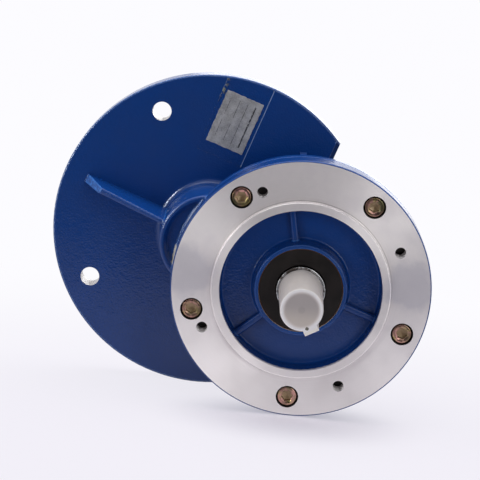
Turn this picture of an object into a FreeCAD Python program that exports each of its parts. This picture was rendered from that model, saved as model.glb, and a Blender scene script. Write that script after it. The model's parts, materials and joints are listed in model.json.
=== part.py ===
import FreeCAD, Part
import math
import os

# Helical gear reducer, in millimetres and degrees.
# The output axis is the Y axis and the machined output flange face is the plane y = 0. The output
# shaft points along -Y and the motor sits at +Y. Everything is drawn level, with the input axis at
# -X from the output axis, and is rolled at the end until both round rims stand on one floor.

# Gear pair
AXIS_DISTANCE = 63.0
PINION_TEETH = 17
WHEEL_TEETH = 50
HELIX = 21.48
PRESSURE = 20.0
BACKLASH = 0.2
PINION_WIDTH = 18.0
WHEEL_WIDTH = 16.0
WHEEL_WEB = 8.0
WHEEL_HUB_WALL = 8.0
WHEEL_RIM = 6.0

# Output flange
FLANGE_DIAMETER = 160.0
FLANGE_THICKNESS = 16.0
SPIGOT_DIAMETER = 110.0
SPIGOT_HEIGHT = 3.5
DISH_DIAMETER = 100.0
DISH_DEPTH = 11.0
DISH_RIB_THICKNESS = 4.6
DISH_RIB_HEIGHT = 4.5
DISH_RIB_COUNT = 3
WEB_THICKNESS = 6.0
HUB_RISE = 1.2
HUB_WALL = 2.4
HUB_ROOT_ROUND = 1.6
HUB_BACK_WALL = 5.5
REGISTER_WIDTH = 5.0
REGISTER_DEPTH = 3.0
MOUNT_INSET = 2.5
MOUNT_TAP = 6.8
MOUNT_TAP_DEPTH = 13.0
MOUNT_COUNT = 4

# Flange screws
SCREW_OUTSET = 0.5
SCREW_ANGLE_STEP = 73.0
SCREW_THREAD = 8.0
SCREW_HEAD = 13.0
SCREW_HEAD_HEIGHT = 8.0
SCREW_HEX = 6.0
SCREW_HEX_DEPTH = 4.0
SCREW_LENGTH = 20.0
SCREW_SINK = 1.0
SCREW_TIP_ROOM = 1.5
SCREW_BOSS_WALL = 3.0

# Gear case
GASKET_THICKNESS = 0.5
CASE_FLANGE_THICKNESS = 8.5
CHAMBER_WALL = 5.0
CHAMBER_ROUND = 5.0
BACK_WALL = 6.0
DISC_DIAMETER = 200.0
DISC_SETBACK = 56.0
DISC_THICKNESS = 15.0
CHORD_DISTANCE = 53.0
CHORD_BEVEL = 3.0
BOSS_DIAMETER = 60.0
BOSS_RIM = 4.5
BOSS_ROUND = 2.0
BOSS_STEP = 0.2
JOINT_PAD = 0.6
NOSE_WALL = 3.5
RIB_THICKNESS = 5.5
RIB_DRAFT = 2.0
RIB_REACH = 86.0
RIB_END_RUN = 12.0
RIB_END_HEIGHT = 21.5
RIB_BOSS_HEIGHT = 35.0
CHAMBER_RIB_THICKNESS = 4.4
CHAMBER_RIB_REACH = 21.0
CHAMBER_RIB_ANGLE = 112.5
CHAMBER_RIB_END_RUN = 10.0
CHAMBER_RIB_END_HEIGHT = 16.0

# Motor side
MOTOR_CIRCLE = 165.0
MOTOR_HOLE = 12.0
MOTOR_TAP = 8.5
MOTOR_TAP_DEPTH = 22.0
MOTOR_SPIGOT = 130.0
MOTOR_SPIGOT_DEPTH = 4.0
LUG_WALL = 6.75
INPUT_BORE = 19.0
INPUT_KEY_WIDTH = 6.0
INPUT_KEY_RISE = 2.8

# Output shaft, its keys and its plastic cap
SHAFT_DIAMETER = 22.0
SHAFT_LENGTH = 50.0
SHAFT_SHOULDER = 2.5
SHAFT_COLLAR_RISE = 4.0
SHAFT_TAP = 6.8
SHAFT_TAP_DEPTH = 19.0
KEY_WIDTH = 6.0
KEY_HEIGHT = 6.0
KEY_SEAT = 3.5
KEY_LENGTH = 40.0
KEY_END = 4.0
KEY_ANGLE = -42.0
GEAR_KEY_WIDTH = 8.0
GEAR_KEY_HEIGHT = 7.0
GEAR_KEY_SEAT = 4.0
GEAR_KEY_LENGTH = 14.0
CAP_WALL = 1.2
CAP_BASE_ROOM = 1.3
CAP_TIP_ROOM = 0.6
CAP_END_ROOM = 0.6
CAP_FOOT = 0.9

# Ball bearings: bore, outer diameter, width, balls
OUTPUT_FRONT_BORE = 30.0
OUTPUT_FRONT_OUTER = 55.0
OUTPUT_FRONT_WIDTH = 13.0
OUTPUT_FRONT_BALLS = 11
OUTPUT_REAR_BORE = 25.0
OUTPUT_REAR_OUTER = 42.0
OUTPUT_REAR_WIDTH = 9.0
OUTPUT_REAR_BALLS = 11
INPUT_FRONT_BORE = 25.0
INPUT_FRONT_OUTER = 37.0
INPUT_FRONT_WIDTH = 7.0
INPUT_FRONT_BALLS = 12
INPUT_REAR_BORE = 30.0
INPUT_REAR_OUTER = 42.0
INPUT_REAR_WIDTH = 7.0
INPUT_REAR_BALLS = 14
BALL_SHARE = 0.56
RING_SHARE = 0.3
BALL_GAP = 0.08
CAGE_PLATE = 0.5
CAGE_GAP = 0.45

# Seals and circlips
OUTPUT_SEAL_OUTER = 52.0
OUTPUT_SEAL_WIDTH = 7.0
INPUT_SEAL_WIDTH = 6.0
SEAL_WALL = 2.0
SEAL_LIP_WIDTH = 1.2
SEAL_TO_BEARING = 2.0
SEAL_SHELF = 2.0
CIRCLIP_THICKNESS = 1.5
CIRCLIP_WIDTH = 3.0
CIRCLIP_GROOVE = 0.9
CIRCLIP_GAP_ANGLE = 40.0

# Plate on the disc
PLATE_WIDTH = 25.0
PLATE_HEIGHT = 35.0
PLATE_THICKNESS = 0.4
PLATE_LEFT = 26.0
PLATE_BOTTOM = 53.0
PLATE_CORNER = 1.0

# Clearances
SEAT_GAP = 0.02
RUN_GAP = 0.05
SIDE_GAP = 0.5
TIP_GAP = 2.2
POCKET_GAP = 0.8
HEAD_GAP = 0.45
SCREW_GAP = 0.5
BORE_REACH = 1.0
EDGE = 0.8

# Gear sizes that follow from the centre distance
TEETH_SUM = PINION_TEETH + WHEEL_TEETH
PITCH_SHARE = 2.0 * AXIS_DISTANCE / TEETH_SUM
MODULE = PITCH_SHARE * math.cos(math.radians(HELIX))
WHEEL_TIP = WHEEL_TEETH * PITCH_SHARE / 2.0 + MODULE
PINION_TIP = PINION_TEETH * PITCH_SHARE / 2.0 + MODULE

# Places along the axis, from the motor face forwards on the input side
MOTOR_FACE = DISC_SETBACK + DISC_THICKNESS
RECESS_FLOOR = MOTOR_FACE - MOTOR_SPIGOT_DEPTH
INPUT_SEAL_FRONT = RECESS_FLOOR - INPUT_SEAL_WIDTH
CIRCLIP_BACK = INPUT_SEAL_FRONT - SIDE_GAP
CIRCLIP_FRONT = CIRCLIP_BACK - CIRCLIP_THICKNESS
INPUT_REAR_FRONT = CIRCLIP_FRONT - INPUT_REAR_WIDTH
PINION_BACK = INPUT_REAR_FRONT - 2.0 * SIDE_GAP
PINION_FRONT = PINION_BACK - PINION_WIDTH
INPUT_FRONT_BACK = PINION_FRONT - 2.0 * SIDE_GAP
INPUT_FRONT_FRONT = INPUT_FRONT_BACK - INPUT_FRONT_WIDTH
NOSE_FLOOR = INPUT_FRONT_FRONT - POCKET_GAP
NOSE_FRONT = NOSE_FLOOR - NOSE_WALL

# Places along the axis on the output side
MESH_MIDDLE = (PINION_FRONT + PINION_BACK) / 2.0
WHEEL_FRONT = MESH_MIDDLE - WHEEL_WIDTH / 2.0
WHEEL_BACK = MESH_MIDDLE + WHEEL_WIDTH / 2.0
CHAMBER_FLOOR = PINION_BACK + SIDE_GAP
OUTPUT_REAR_FRONT = CHAMBER_FLOOR + SIDE_GAP
OUTPUT_REAR_BACK = OUTPUT_REAR_FRONT + OUTPUT_REAR_WIDTH
OUTPUT_FRONT_FRONT = OUTPUT_SEAL_WIDTH + SEAL_TO_BEARING
OUTPUT_FRONT_BACK = OUTPUT_FRONT_FRONT + OUTPUT_FRONT_WIDTH
JOINT_FACE = FLANGE_THICKNESS + GASKET_THICKNESS
CASE_FLANGE_BACK = JOINT_FACE + CASE_FLANGE_THICKNESS
SCREW_SEAT = SCREW_SINK + SCREW_HEAD_HEIGHT
SCREW_TIP = SCREW_SEAT + SCREW_LENGTH
BOSS_FRONT = JOINT_FACE + BOSS_STEP

# Radii that several pieces share
CHAMBER_RADIUS = WHEEL_TIP + TIP_GAP
CHAMBER_OUTER = CHAMBER_RADIUS + CHAMBER_WALL
PINION_POCKET = PINION_TIP + TIP_GAP
NOSE_RADIUS = INPUT_FRONT_OUTER / 2.0 + HUB_BACK_WALL
HUB_RADIUS = OUTPUT_SEAL_OUTER / 2.0 + HUB_WALL
JOURNAL_RADIUS = OUTPUT_FRONT_BORE / 2.0
INPUT_X = -AXIS_DISTANCE
FACE_MIDDLE = (FLANGE_DIAMETER + SPIGOT_DIAMETER) / 2.0
MOUNT_CIRCLE = FACE_MIDDLE - 2.0 * MOUNT_INSET
SCREW_CIRCLE = FACE_MIDDLE + 2.0 * SCREW_OUTSET
SCREW_ANGLES = [step * SCREW_ANGLE_STEP for step in (-2, -1, 0, 1, 2)]
STANDING_ROLL = math.degrees(math.asin((DISC_DIAMETER - FLANGE_DIAMETER) / 2.0 / AXIS_DISTANCE))

ORIGIN = FreeCAD.Vector(0, 0, 0)
ALONG = FreeCAD.Vector(0, 1, 0)


def rod(radius, start, end, axis_x=0.0, axis_z=0.0):
    """Cylinder along Y."""
    return Part.makeCylinder(radius, end - start, FreeCAD.Vector(axis_x, start, axis_z), ALONG)


def tube(outer, inner, start, end, axis_x=0.0):
    """Plain ring along Y."""
    return rod(outer, start, end, axis_x).cut(rod(inner, start, end, axis_x))


def box(x, y, z):
    """Box from three (low, high) pairs."""
    low = FreeCAD.Vector(x[0], y[0], z[0])
    return Part.makeBox(x[1] - x[0], y[1] - y[0], z[1] - z[0], low)


def swung(shape, angle, axis_x=0.0):
    """Copy of a shape drawn along +X, turned to an angle about an axis along Y (90 is +Z)."""
    turned_shape = shape.copy()
    turned_shape.rotate(FreeCAD.Vector(axis_x, 0, 0), ALONG, -angle)
    return turned_shape


def on_circle(diameter, angle, axis_x=0.0):
    """Place on a bolt circle, as (x, z)."""
    radius = diameter / 2.0
    return axis_x + radius * math.cos(math.radians(angle)), radius * math.sin(math.radians(angle))


def merged(shapes):
    """One solid from several that meet."""
    return shapes[0].multiFuse(shapes[1:]).removeSplitter()


def rounded_edges(points):
    """Edges of a closed outline of (u, v) or (u, v, corner radius) points in the XY plane."""
    count = len(points)
    ends = []
    for index, point in enumerate(points):
        corner = FreeCAD.Vector(point[0], point[1], 0)
        if len(point) == 2:
            ends.append((corner, None, corner))
            continue
        back = FreeCAD.Vector(*points[index - 1][:2], 0) - corner
        ahead = FreeCAD.Vector(*points[(index + 1) % count][:2], 0) - corner
        half = back.getAngle(ahead) / 2.0
        room = 0.45 * min(back.Length, ahead.Length)
        run = min(point[2] / math.tan(half), room)
        radius = run * math.tan(half)
        back.normalize()
        ahead.normalize()
        bisector = (back + ahead).normalize()
        middle = corner + bisector * (radius / math.sin(half) - radius)
        ends.append((corner + back * run, middle, corner + ahead * run))
    edges = []
    for index, (first, middle, last) in enumerate(ends):
        if middle is not None:
            edges.append(Part.Arc(first, middle, last).toShape())
        following = ends[(index + 1) % count][0]
        edges.append(Part.LineSegment(last, following).toShape())
    return edges


def turned(points, axis_x=0.0):
    """Solid of revolution about an axis along Y from (radius, y) or (radius, y, corner radius) points."""
    face = Part.Face(Part.Wire(rounded_edges(points)))
    solid = face.revolve(ORIGIN, ALONG, 360)
    solid.translate(FreeCAD.Vector(axis_x, 0, 0))
    return solid


def drafted_rib(foot, ridge, half_thickness, draft, angle, axis_x=0.0):
    """Thin radial wall with drafted sides. foot and ridge are ((radius, y), (radius, y)), inner end first."""
    slope = math.tan(math.radians(draft))
    base = max(foot[0][1], foot[1][1])
    low = []
    high = []
    for radius, depth in foot + ridge:
        half = half_thickness - (base - depth) * slope
        low.append(FreeCAD.Vector(radius, depth, -half))
        high.append(FreeCAD.Vector(radius, depth, half))
    inner_foot, outer_foot, inner_ridge, outer_ridge = range(4)
    loops = [
        [low[inner_foot], low[outer_foot], low[outer_ridge], low[inner_ridge]],
        [high[inner_foot], high[outer_foot], high[outer_ridge], high[inner_ridge]],
        [low[inner_foot], low[outer_foot], high[outer_foot], high[inner_foot]],
        [low[inner_ridge], low[outer_ridge], high[outer_ridge], high[inner_ridge]],
        [low[inner_foot], low[inner_ridge], high[inner_ridge], high[inner_foot]],
        [low[outer_foot], low[outer_ridge], high[outer_ridge], high[outer_foot]],
    ]
    faces = [Part.Face(Part.makePolygon(loop + loop[:1])) for loop in loops]
    solid = Part.Solid(Part.Shell(faces))
    if solid.Volume < 0:
        solid.reverse()
    ridge_edges = [
        edge for edge in solid.Edges
        if all(vertex.Point.y < base - EDGE for vertex in edge.Vertexes)
        and abs(edge.Vertexes[0].Point.x - edge.Vertexes[1].Point.x) > EDGE
    ]
    crest = half_thickness - (base - min(ridge[0][1], ridge[1][1])) * slope
    solid = solid.makeFillet(0.8 * crest, ridge_edges)
    solid.translate(FreeCAD.Vector(axis_x, 0, 0))
    return swung(solid, angle, axis_x)


def feather_key(width, low, high, start, end, angle, axis_x=0.0):
    """Round-ended key block standing on a shaft, between two heights above its axis."""
    half = width / 2.0
    upward = FreeCAD.Vector(1, 0, 0)
    middle = box((low, high), (start + half, end - half), (-half, half))
    first = Part.makeCylinder(half, high - low, FreeCAD.Vector(low, start + half, 0), upward)
    last = Part.makeCylinder(half, high - low, FreeCAD.Vector(low, end - half, 0), upward)
    key = merged([middle, first, last])
    key.translate(FreeCAD.Vector(axis_x, 0, 0))
    return swung(key, angle, axis_x)


def tooth_section(teeth, middle_angle, y, axis_x):
    """Edges of one toothed section, in order: flank, tip, flank and root of each tooth."""
    pitch_radius = teeth * PITCH_SHARE / 2.0
    pressure = math.atan(math.tan(math.radians(PRESSURE)) / math.cos(math.radians(HELIX)))
    base = pitch_radius * math.cos(pressure)
    tip = pitch_radius + MODULE
    root = pitch_radius - 1.25 * MODULE
    thinning = BACKLASH / 4.0 / pitch_radius
    half_at_pitch = math.pi / 2.0 / teeth - thinning + math.tan(pressure) - pressure

    def half_angle(radius):
        roll = math.acos(min(1.0, base / radius))
        return half_at_pitch - math.tan(roll) + roll

    def place(radius, angle):
        return FreeCAD.Vector(axis_x + radius * math.cos(angle), y, radius * math.sin(angle))

    def bow(radius, first, last):
        middle = place(radius, (first + last) / 2.0)
        return Part.Arc(place(radius, first), middle, place(radius, last)).toShape()

    lowest = max(root, base)
    radii = [lowest, (2.0 * lowest + tip) / 3.0, (lowest + 2.0 * tip) / 3.0, tip]
    if root < base:
        radii = [root] + radii
    edges = []
    for tooth in range(teeth):
        centre = middle_angle + 2.0 * math.pi * tooth / teeth
        following = centre + 2.0 * math.pi / teeth
        rising = Part.BSplineCurve()
        rising.interpolate([place(radius, centre - half_angle(radius)) for radius in radii])
        falling = Part.BSplineCurve()
        falling.interpolate([place(radius, centre + half_angle(radius)) for radius in reversed(radii)])
        edges.append(rising.toShape())
        edges.append(bow(tip, centre - half_angle(tip), centre + half_angle(tip)))
        edges.append(falling.toShape())
        edges.append(bow(root, centre + half_angle(root), following - half_angle(root)))
    return edges


def helical_teeth(teeth, start, end, hand, middle_angle, slices, axis_x=0.0):
    """Solid toothed drum whose teeth wind round the axis, with ruled flanks between thin slices."""
    middle = (start + end) / 2.0
    twist = hand * math.tan(math.radians(HELIX)) / (teeth * PITCH_SHARE / 2.0)
    heights = [start + (end - start) * step / slices for step in range(slices + 1)]
    sections = [tooth_section(teeth, middle_angle + twist * (y - middle), y, axis_x) for y in heights]
    faces = [Part.Face(Part.Wire(sections[0])), Part.Face(Part.Wire(sections[-1]))]
    for near, far in zip(sections, sections[1:]):
        faces += [Part.makeRuledSurface(one, other) for one, other in zip(near, far)]
    shell = Part.Shell(faces)
    shell.sewShape()
    solid = Part.Solid(shell)
    if solid.Volume < 0:
        solid.reverse()
    return solid


def bearing(name, bore, outer, width, front, balls, axis_x=0.0):
    """Deep groove ball bearing as four nodes: outer ring, inner ring, balls and cage."""
    inner_radius = bore / 2.0
    outer_radius = outer / 2.0
    wall = outer_radius - inner_radius
    ball = BALL_SHARE * wall / 2.0
    pitch = (inner_radius + outer_radius) / 2.0
    middle = front + width / 2.0
    back = front + width
    ring = RING_SHARE * wall
    race = Part.makeTorus(pitch, ball + BALL_GAP, FreeCAD.Vector(axis_x, middle, 0), ALONG)
    outer_ring = tube(outer_radius - SEAT_GAP, outer_radius - ring, front, back, axis_x).cut(race)
    inner_ring = tube(inner_radius + ring, inner_radius + SEAT_GAP, front, back, axis_x).cut(race)
    spheres = []
    posts = []
    cage_in = inner_radius + ring + CAGE_GAP
    cage_out = outer_radius - ring - CAGE_GAP
    near_plate = ball + BALL_GAP
    for index in range(balls):
        angle = 360.0 * index / balls
        sphere = Part.makeSphere(ball, FreeCAD.Vector(axis_x + pitch, middle, 0))
        spheres.append(swung(sphere, angle, axis_x))
        post = box((axis_x + cage_in, axis_x + cage_out), (middle - near_plate, middle + near_plate),
                   (-CAGE_PLATE, CAGE_PLATE))
        posts.append(swung(post, angle + 180.0 / balls, axis_x))
    plates = [
        tube(cage_out, cage_in, middle - near_plate - CAGE_PLATE, middle - near_plate, axis_x),
        tube(cage_out, cage_in, middle + near_plate, middle + near_plate + CAGE_PLATE, axis_x),
    ]
    return {
        name + "_outer_ring": outer_ring,
        name + "_inner_ring": inner_ring,
        name + "_balls": Part.makeCompound(spheres),
        name + "_cage": merged(plates + posts),
    }


def oil_seal(outer, shaft, width, front, facing, axis_x=0.0):
    """Rubber rotary seal; facing is +1 with the closed side towards -Y and -1 with it towards +Y."""
    outer_radius = outer / 2.0 - SEAT_GAP
    lip = shaft / 2.0 + RUN_GAP
    back = front + width
    closed = front if facing > 0 else back
    open_side = back if facing > 0 else front

    def inwards(distance):
        return closed + facing * distance

    points = [
        (outer_radius, closed, EDGE),
        (outer_radius, open_side, EDGE),
        (outer_radius - SEAL_WALL, open_side),
        (outer_radius - SEAL_WALL, inwards(SEAL_WALL), EDGE),
        (lip + 2.0 * SEAL_WALL, inwards(SEAL_WALL), EDGE),
        (lip + SEAL_WALL, inwards(0.75 * width)),
        (lip + SEAL_LIP_WIDTH, inwards(0.85 * width)),
        (lip, inwards(0.7 * width)),
        (lip + SEAL_LIP_WIDTH, inwards(0.4 * width)),
        (lip + SEAL_LIP_WIDTH / 2.0, closed),
    ]
    return turned(points, axis_x)


def circlip(inner, outer, start, end, angle, axis_x):
    """Open spring ring; the gap is centred on the angle."""
    ring = tube(outer, inner, start, end, axis_x)
    reach = outer * 2.0
    half = math.radians(CIRCLIP_GAP_ANGLE / 2.0)
    wide = reach * math.tan(half)
    corners = [
        FreeCAD.Vector(axis_x, start, 0),
        FreeCAD.Vector(axis_x + reach, start, -wide),
        FreeCAD.Vector(axis_x + reach, start, wide),
    ]
    wedge = Part.Face(Part.makePolygon(corners + corners[:1])).extrude(FreeCAD.Vector(0, end - start, 0))
    return ring.cut(swung(wedge, angle, axis_x))


def output_flange():
    """Cover with machined face, spigot, dished middle with ribs, and the seal and bearing hub."""
    edge = FLANGE_DIAMETER / 2.0
    dish = DISH_DIAMETER / 2.0
    seal = OUTPUT_SEAL_OUTER / 2.0
    seat = OUTPUT_FRONT_OUTER / 2.0
    web_back = DISH_DEPTH + WEB_THICKNESS
    hub_back = OUTPUT_FRONT_BACK + 2.0 * EDGE
    hub_back_radius = seat + HUB_BACK_WALL
    register = CHAMBER_RADIUS - RUN_GAP
    register_back = FLANGE_THICKNESS + REGISTER_DEPTH
    body = turned([
        (edge, 0, EDGE),
        (SPIGOT_DIAMETER / 2.0, 0),
        (SPIGOT_DIAMETER / 2.0, -SPIGOT_HEIGHT, EDGE),
        (dish, -SPIGOT_HEIGHT),
        (dish - EDGE, DISH_DEPTH, 2.0 * EDGE),
        (HUB_RADIUS + 2.0 * EDGE, DISH_DEPTH, HUB_ROOT_ROUND),
        (HUB_RADIUS, -HUB_RISE, EDGE),
        (seal + EDGE / 2.0, -HUB_RISE),
        (seal, EDGE / 2.0 - HUB_RISE),
        (seal, OUTPUT_SEAL_WIDTH),
        (seal - SEAL_SHELF, OUTPUT_SEAL_WIDTH),
        (seal - SEAL_SHELF, OUTPUT_FRONT_FRONT),
        (seat, OUTPUT_FRONT_FRONT),
        (seat, hub_back),
        (hub_back_radius, hub_back, EDGE),
        (hub_back_radius + EDGE, web_back, HUB_ROOT_ROUND),
        (register - REGISTER_WIDTH, web_back),
        (register - REGISTER_WIDTH, register_back),
        (register, register_back, EDGE),
        (register, FLANGE_THICKNESS),
        (edge, FLANGE_THICKNESS, EDGE / 2.0),
    ])
    foot = ((HUB_RADIUS - EDGE, DISH_DEPTH + EDGE), (dish + EDGE, DISH_DEPTH + EDGE))
    crest = DISH_DEPTH - DISH_RIB_HEIGHT
    ridge = ((HUB_RADIUS - EDGE, crest), (dish + EDGE, crest))
    step = 360.0 / DISH_RIB_COUNT
    ribs = [
        drafted_rib(foot, ridge, DISH_RIB_THICKNESS / 2.0, RIB_DRAFT, step * index)
        for index in range(DISH_RIB_COUNT)
    ]
    body = merged([body] + ribs)
    cuts = []
    for angle in SCREW_ANGLES:
        x, z = on_circle(SCREW_CIRCLE, angle)
        cuts.append(rod(SCREW_HEAD / 2.0 + HEAD_GAP, -EDGE, SCREW_SEAT, x, z))
        cuts.append(rod((SCREW_THREAD + SCREW_GAP) / 2.0, SCREW_SEAT - EDGE, JOINT_FACE, x, z))
    for index in range(MOUNT_COUNT):
        x, z = on_circle(MOUNT_CIRCLE, 360.0 * (index + 0.5) / MOUNT_COUNT)
        cuts.append(rod(MOUNT_TAP / 2.0, -EDGE, MOUNT_TAP_DEPTH, x, z))
    return body.cut(cuts)


def flange_screws():
    """Socket head cap screws, all alike."""
    screws = []
    hex_corner = SCREW_HEX / math.sqrt(3.0)
    for angle in SCREW_ANGLES:
        x, z = on_circle(SCREW_CIRCLE, angle)
        head = turned([
            (0, SCREW_SINK),
            (SCREW_HEAD / 2.0, SCREW_SINK, EDGE),
            (SCREW_HEAD / 2.0, SCREW_SEAT),
            (SCREW_THREAD / 2.0 - RUN_GAP, SCREW_SEAT),
            (SCREW_THREAD / 2.0 - RUN_GAP, SCREW_TIP, EDGE),
            (0, SCREW_TIP),
        ])
        corners = [
            FreeCAD.Vector(hex_corner * math.cos(math.radians(60 * side)), SCREW_SINK,
                           hex_corner * math.sin(math.radians(60 * side)))
            for side in range(6)
        ]
        socket = Part.Face(Part.makePolygon(corners + corners[:1])).extrude(ALONG * SCREW_HEX_DEPTH)
        screw = head.cut(socket)
        screw.translate(FreeCAD.Vector(x, 0, z))
        screws.append(screw)
    return Part.makeCompound(screws)


def case_drum():
    """Flange, gear chamber wall and rear bearing boss of the case, round the output axis."""
    edge = FLANGE_DIAMETER / 2.0
    wall_back = CHAMBER_FLOOR + BACK_WALL
    boss = OUTPUT_REAR_OUTER / 2.0 + CHAMBER_WALL
    drum = turned([
        (0, JOINT_FACE),
        (edge, JOINT_FACE, EDGE / 2.0),
        (edge, CASE_FLANGE_BACK, 2.0 * EDGE),
        (CHAMBER_OUTER, CASE_FLANGE_BACK, CHAMBER_ROUND),
        (CHAMBER_OUTER + EDGE, wall_back, CHAMBER_ROUND),
        (boss + EDGE, wall_back, EDGE),
        (boss, RECESS_FLOOR - SIDE_GAP, EDGE),
        (0, RECESS_FLOOR - SIDE_GAP),
    ])
    bosses = []
    for angle in SCREW_ANGLES:
        x, z = on_circle(SCREW_CIRCLE, angle)
        back = SCREW_TIP + SCREW_TIP_ROOM + SCREW_BOSS_WALL
        bosses.append(rod(SCREW_THREAD / 2.0 + SCREW_BOSS_WALL, CASE_FLANGE_BACK - EDGE, back, x, z))
    return merged([drum] + bosses)


def case_disc():
    """Motor-side disc with its straight cut, the bevel on that cut and the two bolt lugs beside it."""
    edge = DISC_DIAMETER / 2.0
    disc = turned([
        (0, DISC_SETBACK),
        (edge, DISC_SETBACK, EDGE),
        (edge, MOTOR_FACE, EDGE),
        (0, MOTOR_FACE),
    ], INPUT_X)
    cut_x = INPUT_X + CHORD_DISTANCE
    outside = box((cut_x, cut_x + edge), (DISC_SETBACK - EDGE, MOTOR_FACE + EDGE), (-edge, edge))
    front = DISC_SETBACK
    corners = [
        FreeCAD.Vector(cut_x - CHORD_BEVEL, front, -edge),
        FreeCAD.Vector(cut_x, front, -edge),
        FreeCAD.Vector(cut_x, front + CHORD_BEVEL, -edge),
    ]
    bevel = Part.Face(Part.makePolygon(corners + corners[:1])).extrude(FreeCAD.Vector(0, 0, 2.0 * edge))
    disc = disc.cut([outside, bevel])
    lugs = []
    for angle in (45.0, -45.0):
        x, z = on_circle(MOTOR_CIRCLE, angle, INPUT_X)
        lug_front = MOTOR_FACE - MOTOR_TAP_DEPTH - LUG_WALL
        lugs.append(rod(MOTOR_TAP / 2.0 + LUG_WALL, lug_front, MOTOR_FACE, x, z))
    return merged([disc] + lugs)


def pinion_boss():
    """Round boss over the pinion with a rounded rim and a filleted foot."""
    radius = BOSS_DIAMETER / 2.0
    return turned([
        (0, BOSS_FRONT),
        (radius, BOSS_FRONT, BOSS_ROUND),
        (radius + EDGE, DISC_SETBACK, CHAMBER_ROUND),
        (radius + 2.0 * CHAMBER_ROUND, DISC_SETBACK),
        (radius + 2.0 * CHAMBER_ROUND, DISC_SETBACK + CHAMBER_ROUND),
        (0, DISC_SETBACK + CHAMBER_ROUND),
    ], INPUT_X)


def case_ribs():
    """Drafted ribs on the disc: one away from the boss, and two that stay the gear chamber."""
    sunk = DISC_SETBACK + EDGE
    inner = BOSS_DIAMETER / 2.0 - BOSS_RIM + EDGE
    foot = ((inner, sunk), (RIB_REACH, sunk))
    ridge_end = (RIB_REACH - RIB_END_RUN, DISC_SETBACK - RIB_END_HEIGHT)
    ridge = ((inner, DISC_SETBACK - RIB_BOSS_HEIGHT), ridge_end)
    ribs = [drafted_rib(foot, ridge, RIB_THICKNESS / 2.0, RIB_DRAFT, 180.0, INPUT_X)]
    inner = CHAMBER_OUTER - EDGE
    reach = CHAMBER_OUTER + CHAMBER_RIB_REACH
    foot = ((inner, sunk), (reach, sunk))
    ridge_end = (reach - CHAMBER_RIB_END_RUN, DISC_SETBACK - CHAMBER_RIB_END_HEIGHT)
    ridge = ((inner, CASE_FLANGE_BACK - EDGE), ridge_end)
    for angle in (CHAMBER_RIB_ANGLE, -CHAMBER_RIB_ANGLE):
        ribs.append(drafted_rib(foot, ridge, CHAMBER_RIB_THICKNESS / 2.0, RIB_DRAFT, angle))
    return ribs


def joint_pad():
    """Machined edge of the joint face where it runs out over the boss."""
    wide = rod(FLANGE_DIAMETER / 2.0 + JOINT_PAD, JOINT_FACE, CASE_FLANGE_BACK)
    return wide.common(rod(BOSS_DIAMETER / 2.0 - BOSS_ROUND, JOINT_FACE, CASE_FLANGE_BACK, INPUT_X))


def boss_recess():
    """Shallow sickle-shaped hollow in the boss, inside its rim and beside the joint face."""
    rim = BOSS_DIAMETER / 2.0 - BOSS_RIM
    hollow = turned([
        (0, JOINT_FACE - EDGE),
        (rim + BOSS_ROUND, JOINT_FACE - EDGE),
        (rim + BOSS_ROUND, BOSS_FRONT),
        (rim, BOSS_FRONT + BOSS_ROUND),
        (rim, NOSE_FRONT, EDGE),
        (0, NOSE_FRONT),
    ], INPUT_X)
    return hollow.cut(rod(FLANGE_DIAMETER / 2.0 + JOINT_PAD, 0, NOSE_FRONT + EDGE))


def case_hollows():
    """Everything machined or cored out of the case."""
    nose = rod(NOSE_RADIUS, NOSE_FRONT, INPUT_FRONT_BACK, INPUT_X)
    chamber = rod(CHAMBER_RADIUS, JOINT_FACE - EDGE, CHAMBER_FLOOR).cut(nose)
    front_seat = INPUT_FRONT_OUTER / 2.0
    rear_seat = INPUT_REAR_OUTER / 2.0
    output_seat = OUTPUT_REAR_OUTER / 2.0
    front_shelf = front_seat - (INPUT_FRONT_OUTER - INPUT_FRONT_BORE) * RING_SHARE
    output_shelf = output_seat - (OUTPUT_REAR_OUTER - OUTPUT_REAR_BORE) * RING_SHARE
    hollows = [
        chamber,
        rod(PINION_POCKET, INPUT_FRONT_BACK, INPUT_REAR_FRONT, INPUT_X),
        rod(front_seat, INPUT_FRONT_FRONT, INPUT_FRONT_BACK + EDGE, INPUT_X),
        rod(front_shelf, NOSE_FLOOR, INPUT_FRONT_FRONT + EDGE, INPUT_X),
        rod(rear_seat, INPUT_REAR_FRONT, MOTOR_FACE, INPUT_X),
        rod(rear_seat + CIRCLIP_GROOVE, CIRCLIP_FRONT, CIRCLIP_BACK, INPUT_X),
        rod(MOTOR_SPIGOT / 2.0, RECESS_FLOOR, MOTOR_FACE + EDGE, INPUT_X),
        rod(output_seat, CHAMBER_FLOOR - EDGE, OUTPUT_REAR_BACK),
        rod(output_shelf, CHAMBER_FLOOR, OUTPUT_REAR_BACK + 2.0 * POCKET_GAP),
        boss_recess(),
    ]
    for angle in (135.0, 225.0):
        x, z = on_circle(MOTOR_CIRCLE, angle, INPUT_X)
        hollows.append(rod(MOTOR_HOLE / 2.0, DISC_SETBACK - EDGE, MOTOR_FACE + EDGE, x, z))
    for angle in (45.0, -45.0):
        x, z = on_circle(MOTOR_CIRCLE, angle, INPUT_X)
        hollows.append(rod(MOTOR_TAP / 2.0, MOTOR_FACE - MOTOR_TAP_DEPTH, MOTOR_FACE + EDGE, x, z))
    for angle in SCREW_ANGLES:
        x, z = on_circle(SCREW_CIRCLE, angle)
        hollows.append(rod(SCREW_THREAD / 2.0, JOINT_FACE - EDGE, SCREW_TIP + SCREW_TIP_ROOM, x, z))
    return hollows


def gear_case():
    """The whole casting."""
    casting = merged([case_drum(), case_disc(), pinion_boss(), joint_pad()] + case_ribs())
    return casting.cut(case_hollows()).removeSplitter()


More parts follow.
